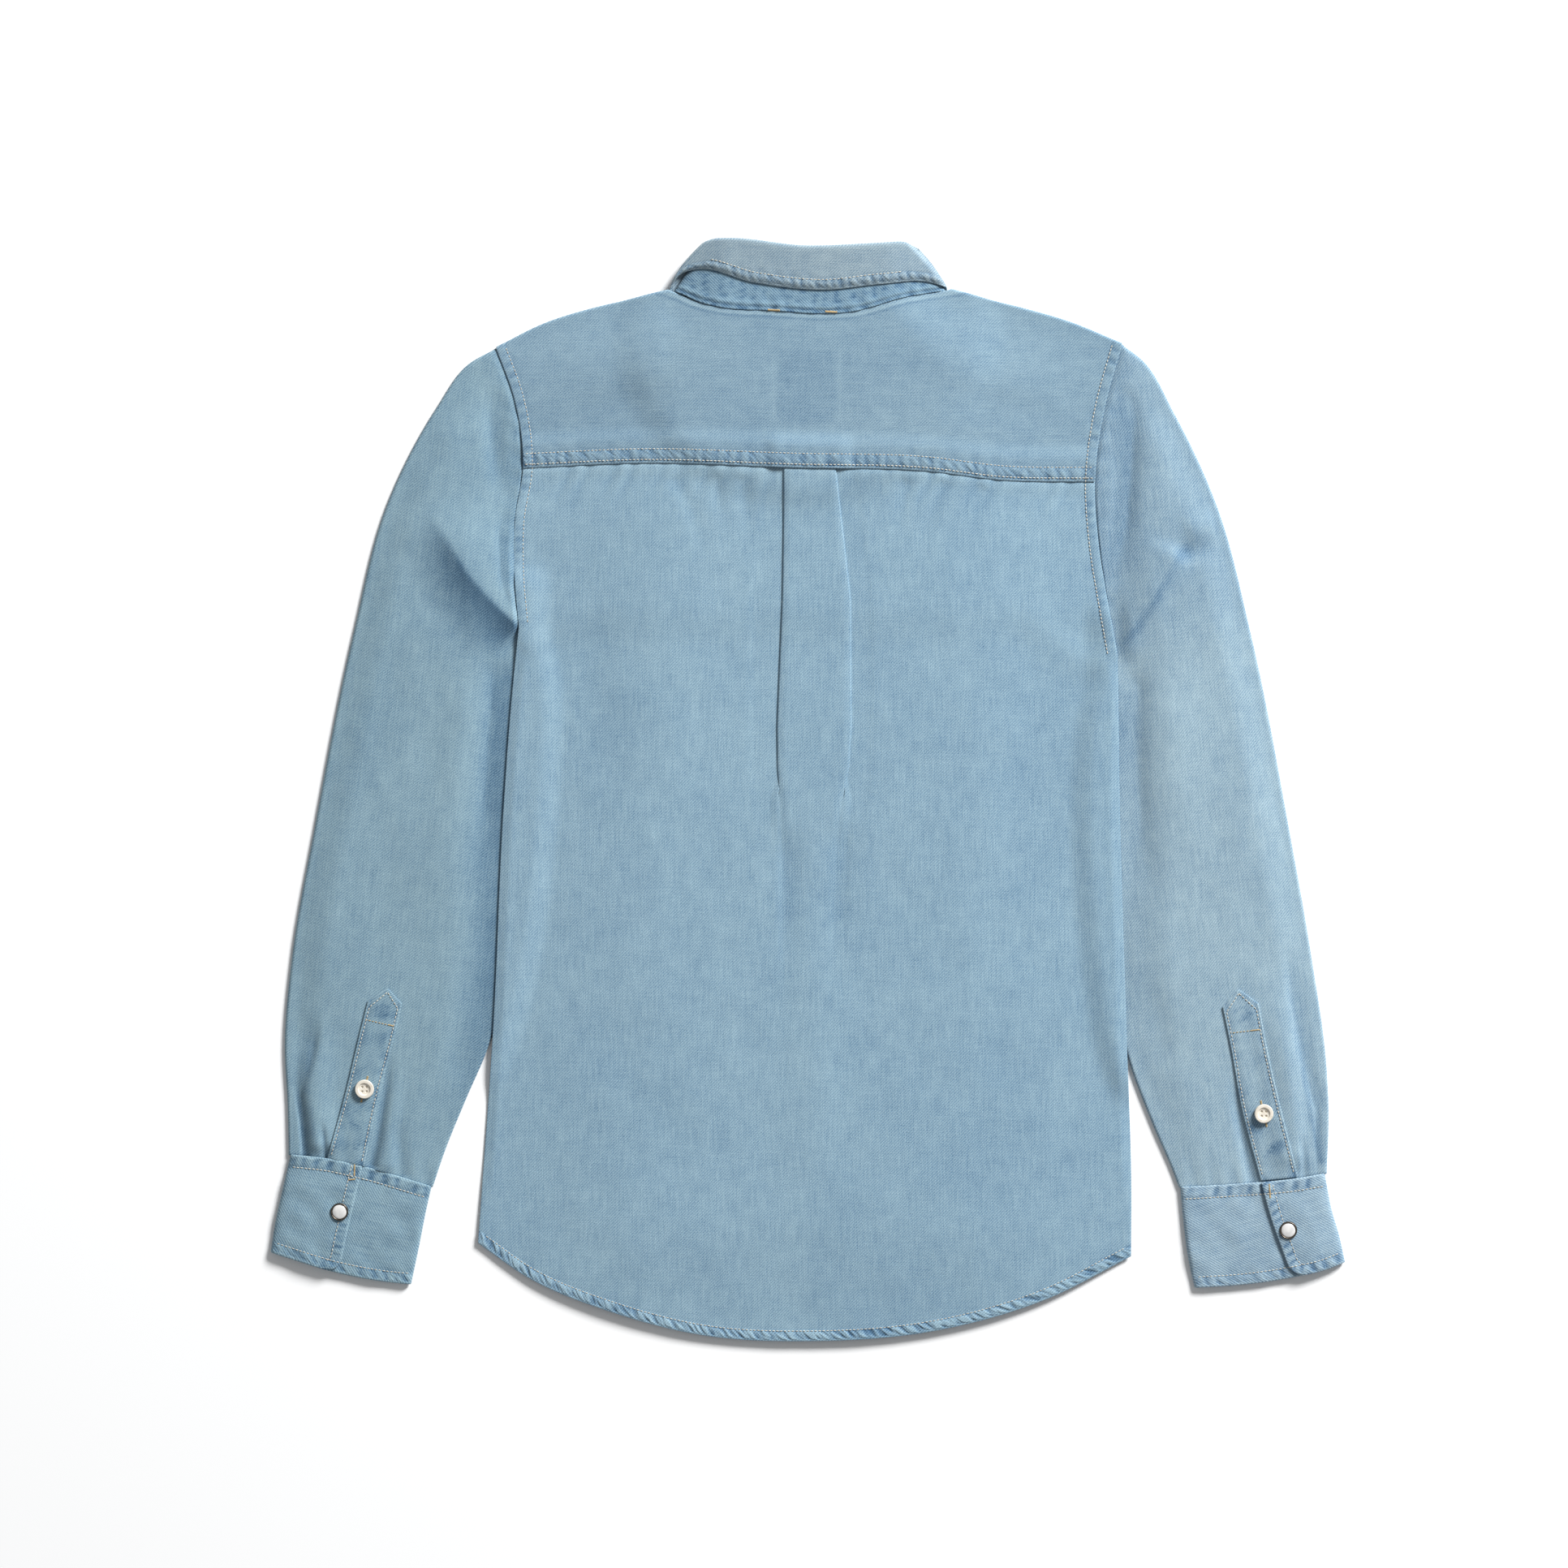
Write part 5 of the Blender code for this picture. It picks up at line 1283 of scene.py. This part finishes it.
def make_cuff(side):
    seam, edge = joined(CUFF_SEAM[side]), joined(CUFF_EDGE[side])
    outer, inner = joined(CUFF_OUTER[side]), joined(CUFF_INNER[side])
    under = CUFF_WALL / 2
    level = 2 * CUFF_WALL + 0.1
    lapped = level + CUFF_WALL + GAP
    Section = namedtuple("Section", "share height lap bend", defaults=(0.0, 0.0))
    columns = (
        Section(0.0, lapped, 1.0, 1.0), Section(-0.03, lapped, 1.0, 0.85), Section(-0.07, lapped, 1.0, 0.6),
        Section(-0.15, lapped, 1.0, 0.25), Section(-0.24, lapped, 1.0), Section(0.16, lapped - 0.1),
        Section(0.09, lapped - 0.5), Section(0.03, lapped - 1.3), Section(0.0, (lapped + under) / 2 - 0.9),
        Section(0.02, under), Section(0.1, under), Section(0.4, under), Section(0.7, under),
        Section(0.98, under), Section(1.0, (under + level) / 2), Section(0.98, level), Section(0.8, level),
        Section(0.12, level, 1.0), Section(0.0, level, 1.0),
        Section(-CUFF_UNDERLAP / 2, level, 1.0), Section(-CUFF_UNDERLAP, level, 1.0),
    )
    start, end = CUFF_LAP[side]
    breadth = chain_length(seam)
    stations = np.array(columns)
    first = np.column_stack([stations[:, 0] + start * stations[:, 2], stations[:, 1]]) * (breadth, 1.0)
    gaps = np.concatenate([[0.0], np.cumsum(np.hypot(*np.diff(first, axis=0).T))])
    fine = spread(gaps, np.maximum(np.diff(gaps) / 1.35, 2).astype(int))
    values = np.column_stack([np.interp(fine, gaps, stations[:, k]) for k in range(4)])
    for _ in range(5):
        values[1:-1] = (values[:-2] + 2 * values[1:-1] + values[2:]) / 4
    down = spread((0.0, 0.15, 0.8, 1.0), (8, 22, 10))
    tall = chain_length(outer)
    grid = []
    for share in down:
        lap = start + (end - start) * share
        into = np.clip((share * tall - (tall - CUFF_ROUND)) / CUFF_ROUND, 0.0, 1.0)
        rounded = -CUFF_ROUND / breadth * (1 - np.sqrt(1 - into**2))
        shares = values[:, 0] + lap * values[:, 2] + rounded * values[:, 3]
        flat = patch(seam, edge, outer, inner, shares, share)
        grid.append(np.column_stack([flat, values[:, 1], np.full(len(flat), share)]))
    grid = np.array(grid)
    x, y, z = grid[..., 0], grid[..., 1], grid[..., 2]
    _, below = near(seam, x, y)
    _, above = near(edge, x, y)
    below, above = np.abs(below), np.abs(above)
    reach = x
    visible = ease((z - 2.2) / 0.5)
    seed = 91 if side == "left" else 92
    from_top, top_marks = seam_relief(reach, below, (CUFF_SEAM_ROW,), seed, 0.2, 0.18, 5.0, 0.1, 8.0, 1.0)
    from_edge, edge_marks = seam_relief(reach, above, (ROW_GAUGE,), seed + 2, 0.25, 0.2, 6.0, 0.5, 8.0, 1.1)
    lap_edge = grid[:, 0, :2]
    from_lap, lap_marks, lap_window = lap_relief(lap_edge, x, y, z, level, lapped, seed)
    billow = 0.25 * ripple(x, y, 22.0, seed + 5) + 0.5 * np.sin(pi * grid[..., 3])
    height = (from_top + from_edge + billow) * visible + from_lap
    detail = (top_marks + edge_marks) * visible + lap_marks
    edge_wear = 0.3 * (ease((1.8 - above) / 1.8) + ease((1.2 - below) / 1.2)) * visible + 0.3 * lap_window
    full = np.dstack([x, y, z + height])
    if side == "right":
        full, detail, edge_wear = full[:, ::-1], detail[:, ::-1], edge_wear[:, ::-1]
    weave = woven(full[..., 0], full[..., 1], 75.0 if side == "left" else 105.0, seed)
    nearer = np.minimum(below, above)
    band = np.where(below < above, CUFF_SEAM_ROW, ROW_GAUGE)
    start_at = np.where(below < above, 3000.0, 4000.0) * np.sign(SIDES[side])
    seam_at = np.dstack([reach + start_at, np.where(visible > 0.5, nearer, NO_SEAM), band])
    if side == "right":
        seam_at = seam_at[:, ::-1]
    shade = shaded(detail, edge_wear)
    item = add_cloth(f"cuff_{side}_cloth", full, CUFF_WALL, CUFF_DENIM[side], weave, shade, seam=seam_at)
    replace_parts(item, f"cuff_{side}")
    return item, lap_edge


def lap_relief(lap_edge, x, y, z, level, lapped, seed):
    """Stitching and a raised edge along the cuff's lap."""
    reach, off = near(smooth(lap_edge[::3]), x, y)
    on_lap = ease((z - (level + lapped) / 2) / 0.4)
    inside = np.abs(off)
    height, marks = seam_relief(reach, inside, (ROW_GAUGE,), seed + 3, 0.25, 0.24, 5.0, 0.2, 6.0, 1.6)
    return height * on_lap, marks * on_lap, ease((1.4 - inside) / 1.4) * on_lap


# Deep patches on the plackets: how far down from the tip and across from the middle, and their size
Patch = namedtuple("Patch", "down across length width depth")
PLACKET_PATCHES = (
    Patch(10.0, 0.0, 2.2, 10.0, 0.7), Patch(17.0, 1.5, 2.0, 9.0, 0.8), Patch(31.0, 3.0, 2.6, 8.0, 0.5),
    Patch(52.0, -3.0, 8.0, 3.0, 0.4), Patch(80.0, 0.0, 5.0, 9.0, 0.7), Patch(93.0, -2.0, 4.0, 8.0, 0.55),
    Patch(108.0, 0.0, 4.0, 9.0, 0.6),
)


def placket_blotches(side, x, y):
    """Deeper patches where the wash didn't reach, down the middle of a placket."""
    shape = PLACKET[side]
    middle = (joined(shape["outer"]) + joined(shape["inner"])) / 2
    reach, off = near(middle, x, y)
    total = np.zeros_like(x)
    for spot in PLACKET_PATCHES:
        down = (reach + 8.0 - spot.down + 0.3 * off) / spot.length
        away = down ** 2 + ((off - spot.across) / spot.width) ** 2
        total = total - spot.depth * np.exp(-away) * (0.65 + 0.6 * ripple(x, y, 6.0, 131, 0.6))
    return total


def make_placket(side, sleeve):
    shape = PLACKET[side]
    outer, inner = joined(shape["outer"]), joined(shape["inner"])
    top = np.array([outer[0], shape["tip"], inner[0]])
    bottom = np.array([along(outer, [0.985])[0], along(inner, [0.985])[0]])
    outer, inner = along(outer, np.linspace(0, 0.985, 80)), along(inner, np.linspace(0, 0.985, 80))
    u, v = np.meshgrid(spread((0.0, 0.15, 0.85, 1.0), (4, 12, 4)), spread((0.0, 0.1, 1.0), (10, 70)))
    flat = patch(top, bottom, outer, inner, u, v)
    x, y = flat[..., 0], flat[..., 1]
    tree = tree_of(sleeve)
    under = np.array([drop(tree, a, b)[0][2] for a, b in zip(x.ravel(), y.ravel())]).reshape(x.shape)
    from_outer, from_inner = np.abs(near(outer, x, y)[1]), np.abs(near(inner, x, y)[1])
    edge = np.minimum(from_outer, from_inner)
    seed = 101 if side == "left" else 102
    relief, marks = seam_relief(y, edge, (1.6,), seed, 0.15, 0.16, 6.0)
    z = under + PLACKET_WALL / 2 + 0.12 + 0.35 * ease(edge / 6.0) + relief * 0.6
    blotch = placket_blotches(side, x, y) + 0.35 * np.minimum(ripple(x, y, 16.0, seed + 1), 0.2)
    wear = 0.35 * ease((1.2 - edge) / 1.2)
    grid, detail = np.dstack([x, y, z]), marks * 1.3 + blotch
    if side == "right":
        grid, detail, wear = grid[:, ::-1], detail[:, ::-1], wear[:, ::-1]
    turned = -13.0 if side == "left" else 13.0
    weave = woven(grid[..., 0], grid[..., 1], turned, seed)
    name, shade = f"sleeve_placket_{side}", shaded(detail, wear)
    item = add_cloth(f"{name}_cloth", grid, PLACKET_WALL, SLEEVE_DENIM[side], weave, shade)
    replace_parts(item, name)
    return item


def collar_columns(back_low, back_high, front_low, front_high, back_count, front_count):
    """Pairs of edge points round the collar, from its front left end over the back to its front right."""
    shares = np.linspace(0.01, 0.99, back_count)
    fronts = np.linspace(0.02, 1.0, front_count)
    left = np.stack([along(front_low["left"], fronts), along(front_high["left"], fronts)], axis=1)[::-1]
    right = np.stack([along(front_low["right"], fronts), along(front_high["right"], fronts)], axis=1)
    behind = np.stack([along(back_low, shares), along(back_high, shares)], axis=1)
    return np.concatenate([left, behind, right])


def stand_height(x, y):
    """The middle of the stand's wall behind the neck, higher towards its fold."""
    seam, fold = joined(BACK_NECK), joined(COLLAR_FOLD)
    low = np.interp(x, seam[:, 0], seam[:, 1])
    share = np.clip((y - low) / (np.interp(x, fold[:, 0], fold[:, 1]) - low), 0.0, 1.0)
    level = COLLAR_UNDER_FRONT + STAND_WALL / 2 + STAND_WALL + 2 * GAP
    return np.maximum(back_mid(x, low) + 0.6, level) + COLLAR_LOFT * share * ease((78.0 - np.abs(x)) / 60.0)


COLLAR_BACK_COLUMNS = 110
COLLAR_FRONT_COLUMNS = 26


def ring_share(turn):
    """1 on the back part of the collar and 0 on its front parts, changing over the turns at the neck."""
    total = COLLAR_BACK_COLUMNS + 2 * COLLAR_FRONT_COLUMNS
    order = np.arange(total) - (total - 1) / 2
    return ease((COLLAR_BACK_COLUMNS / 2 + turn - np.abs(order)) / (2 * turn))


def make_stand():
    seam = joined(BACK_NECK) * (0.965, 1.0) + (0.0, CLOTH)
    fold = joined(COLLAR_FOLD[2:7]) * (0.955, 1.0) - (0.0, LEAF_WALL + STAND_WALL)
    low, high = {}, {}
    for side, sign in SIDES.items():
        end = 0 if side == "left" else -1
        neck = joined(FRONT_NECK[side]) * (0.97, 1.0) + (0.0, 1.3)
        low[side] = np.concatenate([[seam[end]], neck[1:]])
        top = joined(COLLAR_FRONT_FOLD)
        top = np.column_stack([-sign * top[:, 0] * 0.96, top[:, 1] - 7.0])
        high[side] = np.concatenate([[fold[end]], top[1:], [(-sign * FRONT_LAP, top[-1, 1] + 0.6)]])
    columns = collar_columns(seam, fold, low, high, COLLAR_BACK_COLUMNS, COLLAR_FRONT_COLUMNS)
    outer = COLLAR_UNDER_FRONT + STAND_WALL / 2
    back_share = ring_share(3)
    fronts = COLLAR_FRONT_COLUMNS
    grid, details = [], []
    for share in spread((0.0, 0.12, 1.0), (5, 17)):
        flat = columns[:, 0] * (1 - share) + columns[:, 1] * share
        behind = stand_height(flat[:, 0], flat[:, 1])
        over_snap = ease((42.0 - np.abs(flat[:, 0])) / 22.0)
        front = outer + (2.2 - COLLAR_UNDER_FRONT) * over_snap
        front[-fronts:] += (STAND_WALL + GAP) * ease((FRONT_LAP + 16.0 - flat[-fronts:, 0]) / 12.0)
        reach = flat[:, 0]
        marks = uneven(reach + 0.8 * share * 30.0, 12.0, 111) * 0.4 * ease(1.0 - share / 0.4)
        # A small groove and ridge along the neck seam carry a painted shade line and a painted highlight
        # line.
        marks = marks - 0.8 * bell(share, 0.045, 0.03) + 0.9 * bell(share, 0.09, 0.03)
        blotch = ripple(flat[:, 0], flat[:, 1], 9.0, 112, 0.5) * 0.8
        z = front * (1 - back_share) + (behind + 0.5 * marks) * back_share
        grid.append(np.column_stack([flat, z]))
        details.append((marks + np.clip(blotch, -1.2, 0.35)) * back_share)
    grid = np.array(grid)
    weave = woven(grid[..., 0], grid[..., 1], 90.0, 20.0)
    item = add_cloth("collar_stand_cloth", grid, STAND_WALL, STAND_DENIM, weave, shaded(np.array(details)))
    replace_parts(item, "collar_stand")
    return item


def make_leaf():
    edge, fold = joined(LEAF_EDGE), joined(COLLAR_FOLD[2:7])
    low, high = {}, {}
    for side, sign in SIDES.items():
        bottom, top = joined(COLLAR_FRONT_EDGE), joined(COLLAR_FRONT_FOLD)
        low[side] = np.column_stack([-sign * bottom[:, 0], bottom[:, 1]])
        high[side] = np.column_stack([-sign * top[:, 0], top[:, 1]])
    columns = collar_columns(edge, fold, low, high, COLLAR_BACK_COLUMNS, COLLAR_FRONT_COLUMNS)
    middle = COLLAR_UNDER_FRONT + STAND_WALL + GAP
    under = LEAF_WALL / 2
    over = 2 * middle - under + 0.3
    back_share = ring_share(3)
    grid, details = [], []
    turns = [(share, 0.0) for share in spread((0.0, 0.35, 0.94), (10, 12))]
    turns += [(0.97, 0.12), (0.99, 0.4), (1.0, 0.9), (0.99, 1.4), (0.97, 1.7)]
    tall = float(np.median(np.linalg.norm(columns[30:-30, 1] - columns[30:-30, 0], axis=1)))
    at_turn = ease((np.abs(columns[:, 1, 0]) - 58.0) / 14.0) * ease((columns[:, 1, 1] - 340.0) / 25.0)
    columns[:, 1, 1] -= (2.4 + 1.6 * (1 - back_share)) * at_turn**2
    for share, curl in turns:
        flat = columns[:, 0] * (1 - share) + columns[:, 1] * share
        flat[:, 0] += np.sign(flat[:, 0]) * (9.0 * share * (1 - share) - 0.8 * (1 - back_share)) * at_turn
        behind = stand_height(flat[:, 0], flat[:, 1]) + (STAND_WALL + LEAF_WALL) / 2 + 2 * GAP
        inside = np.full(len(flat), share * tall)
        relief, marks = seam_relief(flat[:, 0], inside, (ROW_GAUGE,), 121, 0.35, 0.26, 7.0)
        z_back = np.maximum(behind, over) + relief * (curl == 0.0) - curl - 0.9 * (1.0 - ease(share / 0.12))
        z_front = under + curl
        grid.append(np.column_stack([flat, z_front * (1 - back_share) + z_back * back_share]))
        details.append(marks * (curl == 0.0))
    grid, detail = np.array(grid), np.array(details)
    wear = np.zeros_like(detail)
    wear[:3] = 0.35
    wear[-7:] = 0.22
    weave = woven(grid[..., 0], grid[..., 1], 90.0, 25.0)
    wall = np.full(detail.shape, LEAF_WALL)
    wall[:4] = np.array([0.6, 0.8, 1.05, 1.25])[:, None]
    inside = np.array([share for share, _ in turns])[:, None] * tall + np.zeros_like(detail)
    seam = np.dstack([grid[..., 0] + 6000.0, inside, np.full_like(detail, ROW_GAUGE)])
    item = add_cloth("collar_leaf_cloth", grid, wall, LEAF_DENIM, weave, shaded(detail, wear), seam=seam)
    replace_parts(item, "collar_leaf")
    return item


# ---------------------------------------------------------------- stitches
def level_run(chain, inside, start=0.0, end=1.0):
    """A row of stitches beside a chain, at a distance to its left."""
    moved = offset_chain(chain, inside)
    return along(moved, np.linspace(start, end, 200))


def sew(back, yoke, cuffs, plackets, leaf, laps):
    """Rows of topstitching on the finished pieces."""
    body = tree_of(back)
    add_stitches("hem_stitches", body, [level_run(joined(HEM), ROW_GAUGE, 0.003, 0.997)], PALE_THREAD)
    yoke_tree = tree_of(yoke)
    seam = joined(YOKE_SEAM)
    rows = [level_run(seam, EDGE_ROW, 0.002, 0.998), level_run(seam, SECOND_ROW, 0.004, 0.996)]
    add_stitches("yoke_stitches", yoke_tree, rows, PALE_THREAD)
    both = tree_of(back, yoke)
    arms = []
    for side, sign in SIDES.items():
        armhole = joined(ARMHOLE[side])
        arms.append(level_run(armhole, -sign * ARM_ROW, 0.006, 0.99))
    add_stitches("armhole_stitches", both, arms, PALE_THREAD)
    leaf_rows = [level_run(joined(LEAF_EDGE)[25:-25], ROW_GAUGE, 0.01, 0.99)]
    add_stitches("collar_stitches", tree_of(leaf), leaf_rows, PALE_THREAD)
    for side, sign in SIDES.items():
        seam, edge = joined(CUFF_SEAM[side]), joined(CUFF_EDGE[side])
        down = -1.0 if seam[0, 0] < seam[-1, 0] else 1.0
        rows = [level_run(seam, down * CUFF_SEAM_ROW, 0.03, 0.97)]
        rows.append(level_run(edge, -down * ROW_GAUGE, 0.03, 0.97))
        lap = smooth(laps[side][::3])
        rows.append(level_run(lap, -ROW_GAUGE if side == "left" else ROW_GAUGE, 0.0, 1.0))
        add_stitches(f"cuff_{side}_stitches", tree_of(cuffs[side]), rows, PALE_THREAD)
        shape = PLACKET[side]
        outer, inner = joined(shape["outer"]), joined(shape["inner"])
        rows = [level_run(outer, sign * -1.6, 0.03, 0.96), level_run(inner, sign * 1.6, 0.03, 0.96)]
        tip = np.array(shape["tip"]) - (0.0, 2.2)
        rows += [np.linspace(rows[0][0], tip, 20), np.linspace(tip, rows[1][0], 20)]
        add_stitches(f"placket_{side}_stitches", tree_of(plackets[side]), rows, PALE_THREAD)


def satin(start, end, width, gap=0.5):
    """A bar of close short stitches that lie across the line from start to end."""
    start, end = np.array(start, float), np.array(end, float)
    reach = end - start
    side = np.array([-reach[1], reach[0]]) / np.hypot(*reach) * width / 2
    count = max(int(np.hypot(*reach) / gap), 1)
    middles = [start + reach * (order + 0.5) / count for order in range(count)]
    return [[middle - side, middle + side] for middle in middles]


NECK_BARS = (((-27.5, 324.0), (-19.3, 323.6)), ((11.4, 322.9), (19.4, 322.5)))
BOX_LINES = {
    "left": ((-300.1, -156.1), (-280.8, -160.6)),
    "right": ((286.9, -165.2), (305.3, -162.9)),
}
BOX_BARS = {
    "left": ((-284.6, -159.6), (-280.4, -160.6)),
    "right": ((299.8, -163.6), (305.4, -162.9)),
}
LAP_BARS = {
    "left": (((-307.2, -253.0), (-307.4, -262.0)), ((-311.4, -264.6), (-306.8, -264.2))),
    "right": (((312.0, -267.5), (312.7, -277.0)),),
}


def sew_gold(neck, cuffs, plackets, buttons):
    """Bar tacks and buttonholes in gold thread."""
    bars = [run for ends in NECK_BARS for run in satin(*ends, 1.8)]
    add_stitches("neck_bar_tacks", tree_of(*neck), bars, GOLD_THREAD, pitch=1.8, thick=0.55, fill=0.95)
    for side, centre in buttons.items():
        line_of = [smooth(BOX_LINES[side], 40)]
        tree = tree_of(plackets[side])
        add_stitches(f"box_line_{side}", tree, line_of, GOLD_THREAD, pitch=2.2, thick=0.55)
        lean = unit(np.array(PLACKET[side]["outer"][0]) - np.array(PLACKET[side]["outer"][-1]))
        bars = satin(*BOX_BARS[side], 1.2)
        for way in (-1.0, 1.0):
            bars += satin(centre + way * lean * 5.6, centre + way * lean * 9.2, 1.7)
        add_stitches(f"buttonhole_{side}", tree, bars, GOLD_THREAD, pitch=1.7, thick=0.5, fill=0.95)
        bars = [run for ends in LAP_BARS[side] for run in satin(*ends, 1.3)]
        lap_tree = tree_of(cuffs[side])
        add_stitches(f"lap_bar_tacks_{side}", lap_tree, bars, GOLD_THREAD, pitch=1.3, thick=0.5, fill=0.95)


# ---------------------------------------------------------------- hardware
def turned(name, profile, place, material, segments=64, flip=False, open_ring=False):
    """A round piece from its half profile of (radius, height) points."""
    profile = np.array(profile)
    if open_ring:
        profile = np.concatenate([profile, profile[:1]])
    turn = np.arange(segments) * 2 * pi / segments
    sign = -1.0 if flip else 1.0
    rings = [
        np.column_stack([r * np.cos(turn), sign * r * np.sin(turn), np.full(segments, sign * h)])
        for r, h in profile
    ]
    vertices = np.concatenate(rings) + np.array(place)
    index = np.arange(len(vertices)).reshape(len(profile), segments)
    beside = np.roll(index, -1, axis=1)
    faces = np.stack([index[:-1], beside[:-1], beside[1:], index[1:]], axis=-1).reshape(-1, 4)
    return add_mesh(name, vertices, faces, material)


SNAP_RADIUS = 6.0
SNAP_RIM = 1.1
SNAP_HEIGHT = 1.9


def add_snap(name, place, flip=False):
    """A pearl snap: a rolled metal rim round a domed pearl."""
    inner, top = SNAP_RADIUS - SNAP_RIM, SNAP_HEIGHT
    turn = np.linspace(0, 2 * pi, 17)[:-1]
    middle, half = SNAP_RADIUS - SNAP_RIM / 2, SNAP_RIM / 2
    ring = [(middle + cos(a) * half, top / 2 - 0.05 + sin(a) * (top / 2 - 0.08)) for a in turn]
    dome = [(0.01, 0.05), (inner - 0.1, 0.05)]
    rise = np.linspace(0, pi / 2 * 0.995, 14)
    dome += [((inner - 0.1) * cos(a), 1.05 + (top - 1.05) * sin(a)) for a in rise]
    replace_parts(turned(f"{name}_rim_ring", ring, place, METAL, flip=flip, open_ring=True), f"{name}_rim")
    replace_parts(turned(f"{name}_pearl_cap", dome, place, PEARL, flip=flip), f"{name}_pearl")


BUTTON_RADIUS = 6.5
HOLE_RADIUS = 0.85
HOLE_OFFSET = 1.5


def add_button(side, place):
    """A four-hole button: a round height field with a raised lip and four sunk holes."""
    radii = np.concatenate([np.linspace(0.0, 3.4, 24), np.linspace(3.6, BUTTON_RADIUS, 26)])
    segments = 96
    turn = np.arange(segments) * 2 * pi / segments
    r, a = np.meshgrid(radii, turn, indexing="ij")
    x, y = r * np.cos(a), r * np.sin(a)
    lip = ease((r - 3.5) / 0.9) * ease((BUTTON_RADIUS + 0.05 - r) / 0.5)
    z = 1.45 + 0.85 * lip - 0.12 * ease((4.2 - r) / 2.0) - 0.55 * ease((r - BUTTON_RADIUS + 0.55) / 0.55)
    for across in (-HOLE_OFFSET, HOLE_OFFSET):
        for up in (-HOLE_OFFSET, HOLE_OFFSET):
            away = np.hypot(x - across, y - up)
            z = z - 0.9 * ease((HOLE_RADIUS - away) / 0.3)
    upper = np.stack([x, y, z], axis=-1)
    below = ((1.0, 0.8), (0.97, 0.45), (0.85, 0.1), (0.01, 0.1))
    edge = [np.stack([x[-1] * k, y[-1] * k, np.full(segments, h)], axis=-1) for k, h in below]
    rows = np.concatenate([upper, np.array(edge)])
    index = np.arange(rows.shape[0] * segments).reshape(rows.shape[0], segments)
    beside = np.roll(index, -1, axis=1)
    faces = np.stack([index[:-1], index[1:], beside[1:], beside[:-1]], axis=-1).reshape(-1, 4)
    item = add_mesh(f"placket_button_{side}_disc", rows.reshape(-1, 3) + np.array(place), faces, HORN)
    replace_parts(item, f"placket_button_{side}")
    return item


def fit_hardware():
    """Builds the snaps and buttons, and gives the middles of the placket buttons."""
    buttons = {}
    for order, up in enumerate(FRONT_SNAPS, 1):
        add_snap(f"front_snap_{order}", (0.0, up, SNAP_HEIGHT), flip=True)
    add_snap("stand_snap", (0.0, 278.0, SNAP_HEIGHT), flip=True)
    for side in SIDES:
        low, high = (np.array(corner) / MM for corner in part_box(f"cuff_snap_{side}_rim"))
        centre = (low + high) / 2
        add_snap(f"cuff_snap_{side}", (centre[0], centre[1], low[2]))
        low, high = (np.array(corner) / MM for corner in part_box(f"placket_button_{side}"))
        centre = (low + high) / 2
        add_button(side, (centre[0], centre[1], low[2]))
        buttons[side] = centre[:2]
    return buttons


# ---------------------------------------------------------------- camera, light and floor
VIEW_WIDTH = 1.0626
LENS = 200.0
SENSOR = 36.0
VIEW_CENTRE = (-0.0165, 0.0033)
# The main light's place, size and power, and the strength of the light from all round
KEY_AZIMUTH = 50.0
KEY_ELEVATION = 29.0
KEY_DISTANCE = 7.0
KEY_SIZE = 2.4
KEY_POWER = 920.0
FILL = 0.31


def set_stage():
    camera = bpy.data.cameras.new("camera")
    camera.lens = LENS
    camera.sensor_width = SENSOR
    camera.clip_end = 50.0
    item = bpy.data.objects.new("camera", camera)
    item.location = (*VIEW_CENTRE, VIEW_WIDTH * LENS / SENSOR)
    bpy.context.scene.collection.objects.link(item)
    bpy.context.scene.camera = item

    make = Nodes("floor")
    make.shader.inputs["Base Color"].default_value = (0.96, 0.96, 0.96, 1.0)
    place = make.add("ShaderNodeTexCoord").outputs["Object"]
    soft = make.noise(place, (3.0, 3.0, 3.0), 2.0)
    make.feed(make.shader.inputs["Roughness"], make.math("MULTIPLY_ADD", soft, 0.02, 0.9))
    make.shader.inputs["Specular IOR Level"].default_value = 0.1
    mesh = bpy.data.meshes.new("floor")
    half = 6.0
    corners = [(-half, -half, 0.0), (half, -half, 0.0), (half, half, 0.0), (-half, half, 0.0)]
    mesh.from_pydata(corners, [], [(0, 1, 2, 3)])
    mesh.materials.append(make.material)
    floor = bpy.data.objects.new("floor", mesh)
    floor.location.z = -0.0002
    bpy.context.scene.collection.objects.link(floor)

    lamp = bpy.data.lights.new("key", "AREA")
    lamp.shape = "DISK"
    lamp.size = KEY_SIZE
    lamp.energy = KEY_POWER
    key = bpy.data.objects.new("key", lamp)
    azimuth, elevation = radians(KEY_AZIMUTH), radians(KEY_ELEVATION)
    level = KEY_DISTANCE * cos(elevation)
    key.location = (level * cos(azimuth), level * sin(azimuth), KEY_DISTANCE * sin(elevation))
    key.rotation_euler = (Vector((0.0, 0.0, 0.0)) - key.location).to_track_quat("-Z", "Y").to_euler()
    bpy.context.scene.collection.objects.link(key)

    world = bpy.data.worlds.new("studio")
    world.use_nodes = True
    background = world.node_tree.nodes["Background"]
    background.inputs["Color"].default_value = (0.97, 0.985, 1.0, 1.0)
    background.inputs["Strength"].default_value = FILL
    bpy.context.scene.world = world
    bpy.context.scene.view_settings.view_transform = "Standard"


def main():
    set_stage()
    for side in SIDES:
        make_front(side)
    back, yoke = make_back(), make_yoke()
    sleeves = {side: make_sleeve(side) for side in SIDES}
    cuffs, laps = {}, {}
    for side in SIDES:
        cuffs[side], laps[side] = make_cuff(side)
    plackets = {side: make_placket(side, sleeves[side]) for side in SIDES}
    stand, leaf = make_stand(), make_leaf()
    sew(back, yoke, cuffs, plackets, leaf, laps)
    buttons = fit_hardware()
    sew_gold((yoke, stand), cuffs, plackets, buttons)


main()
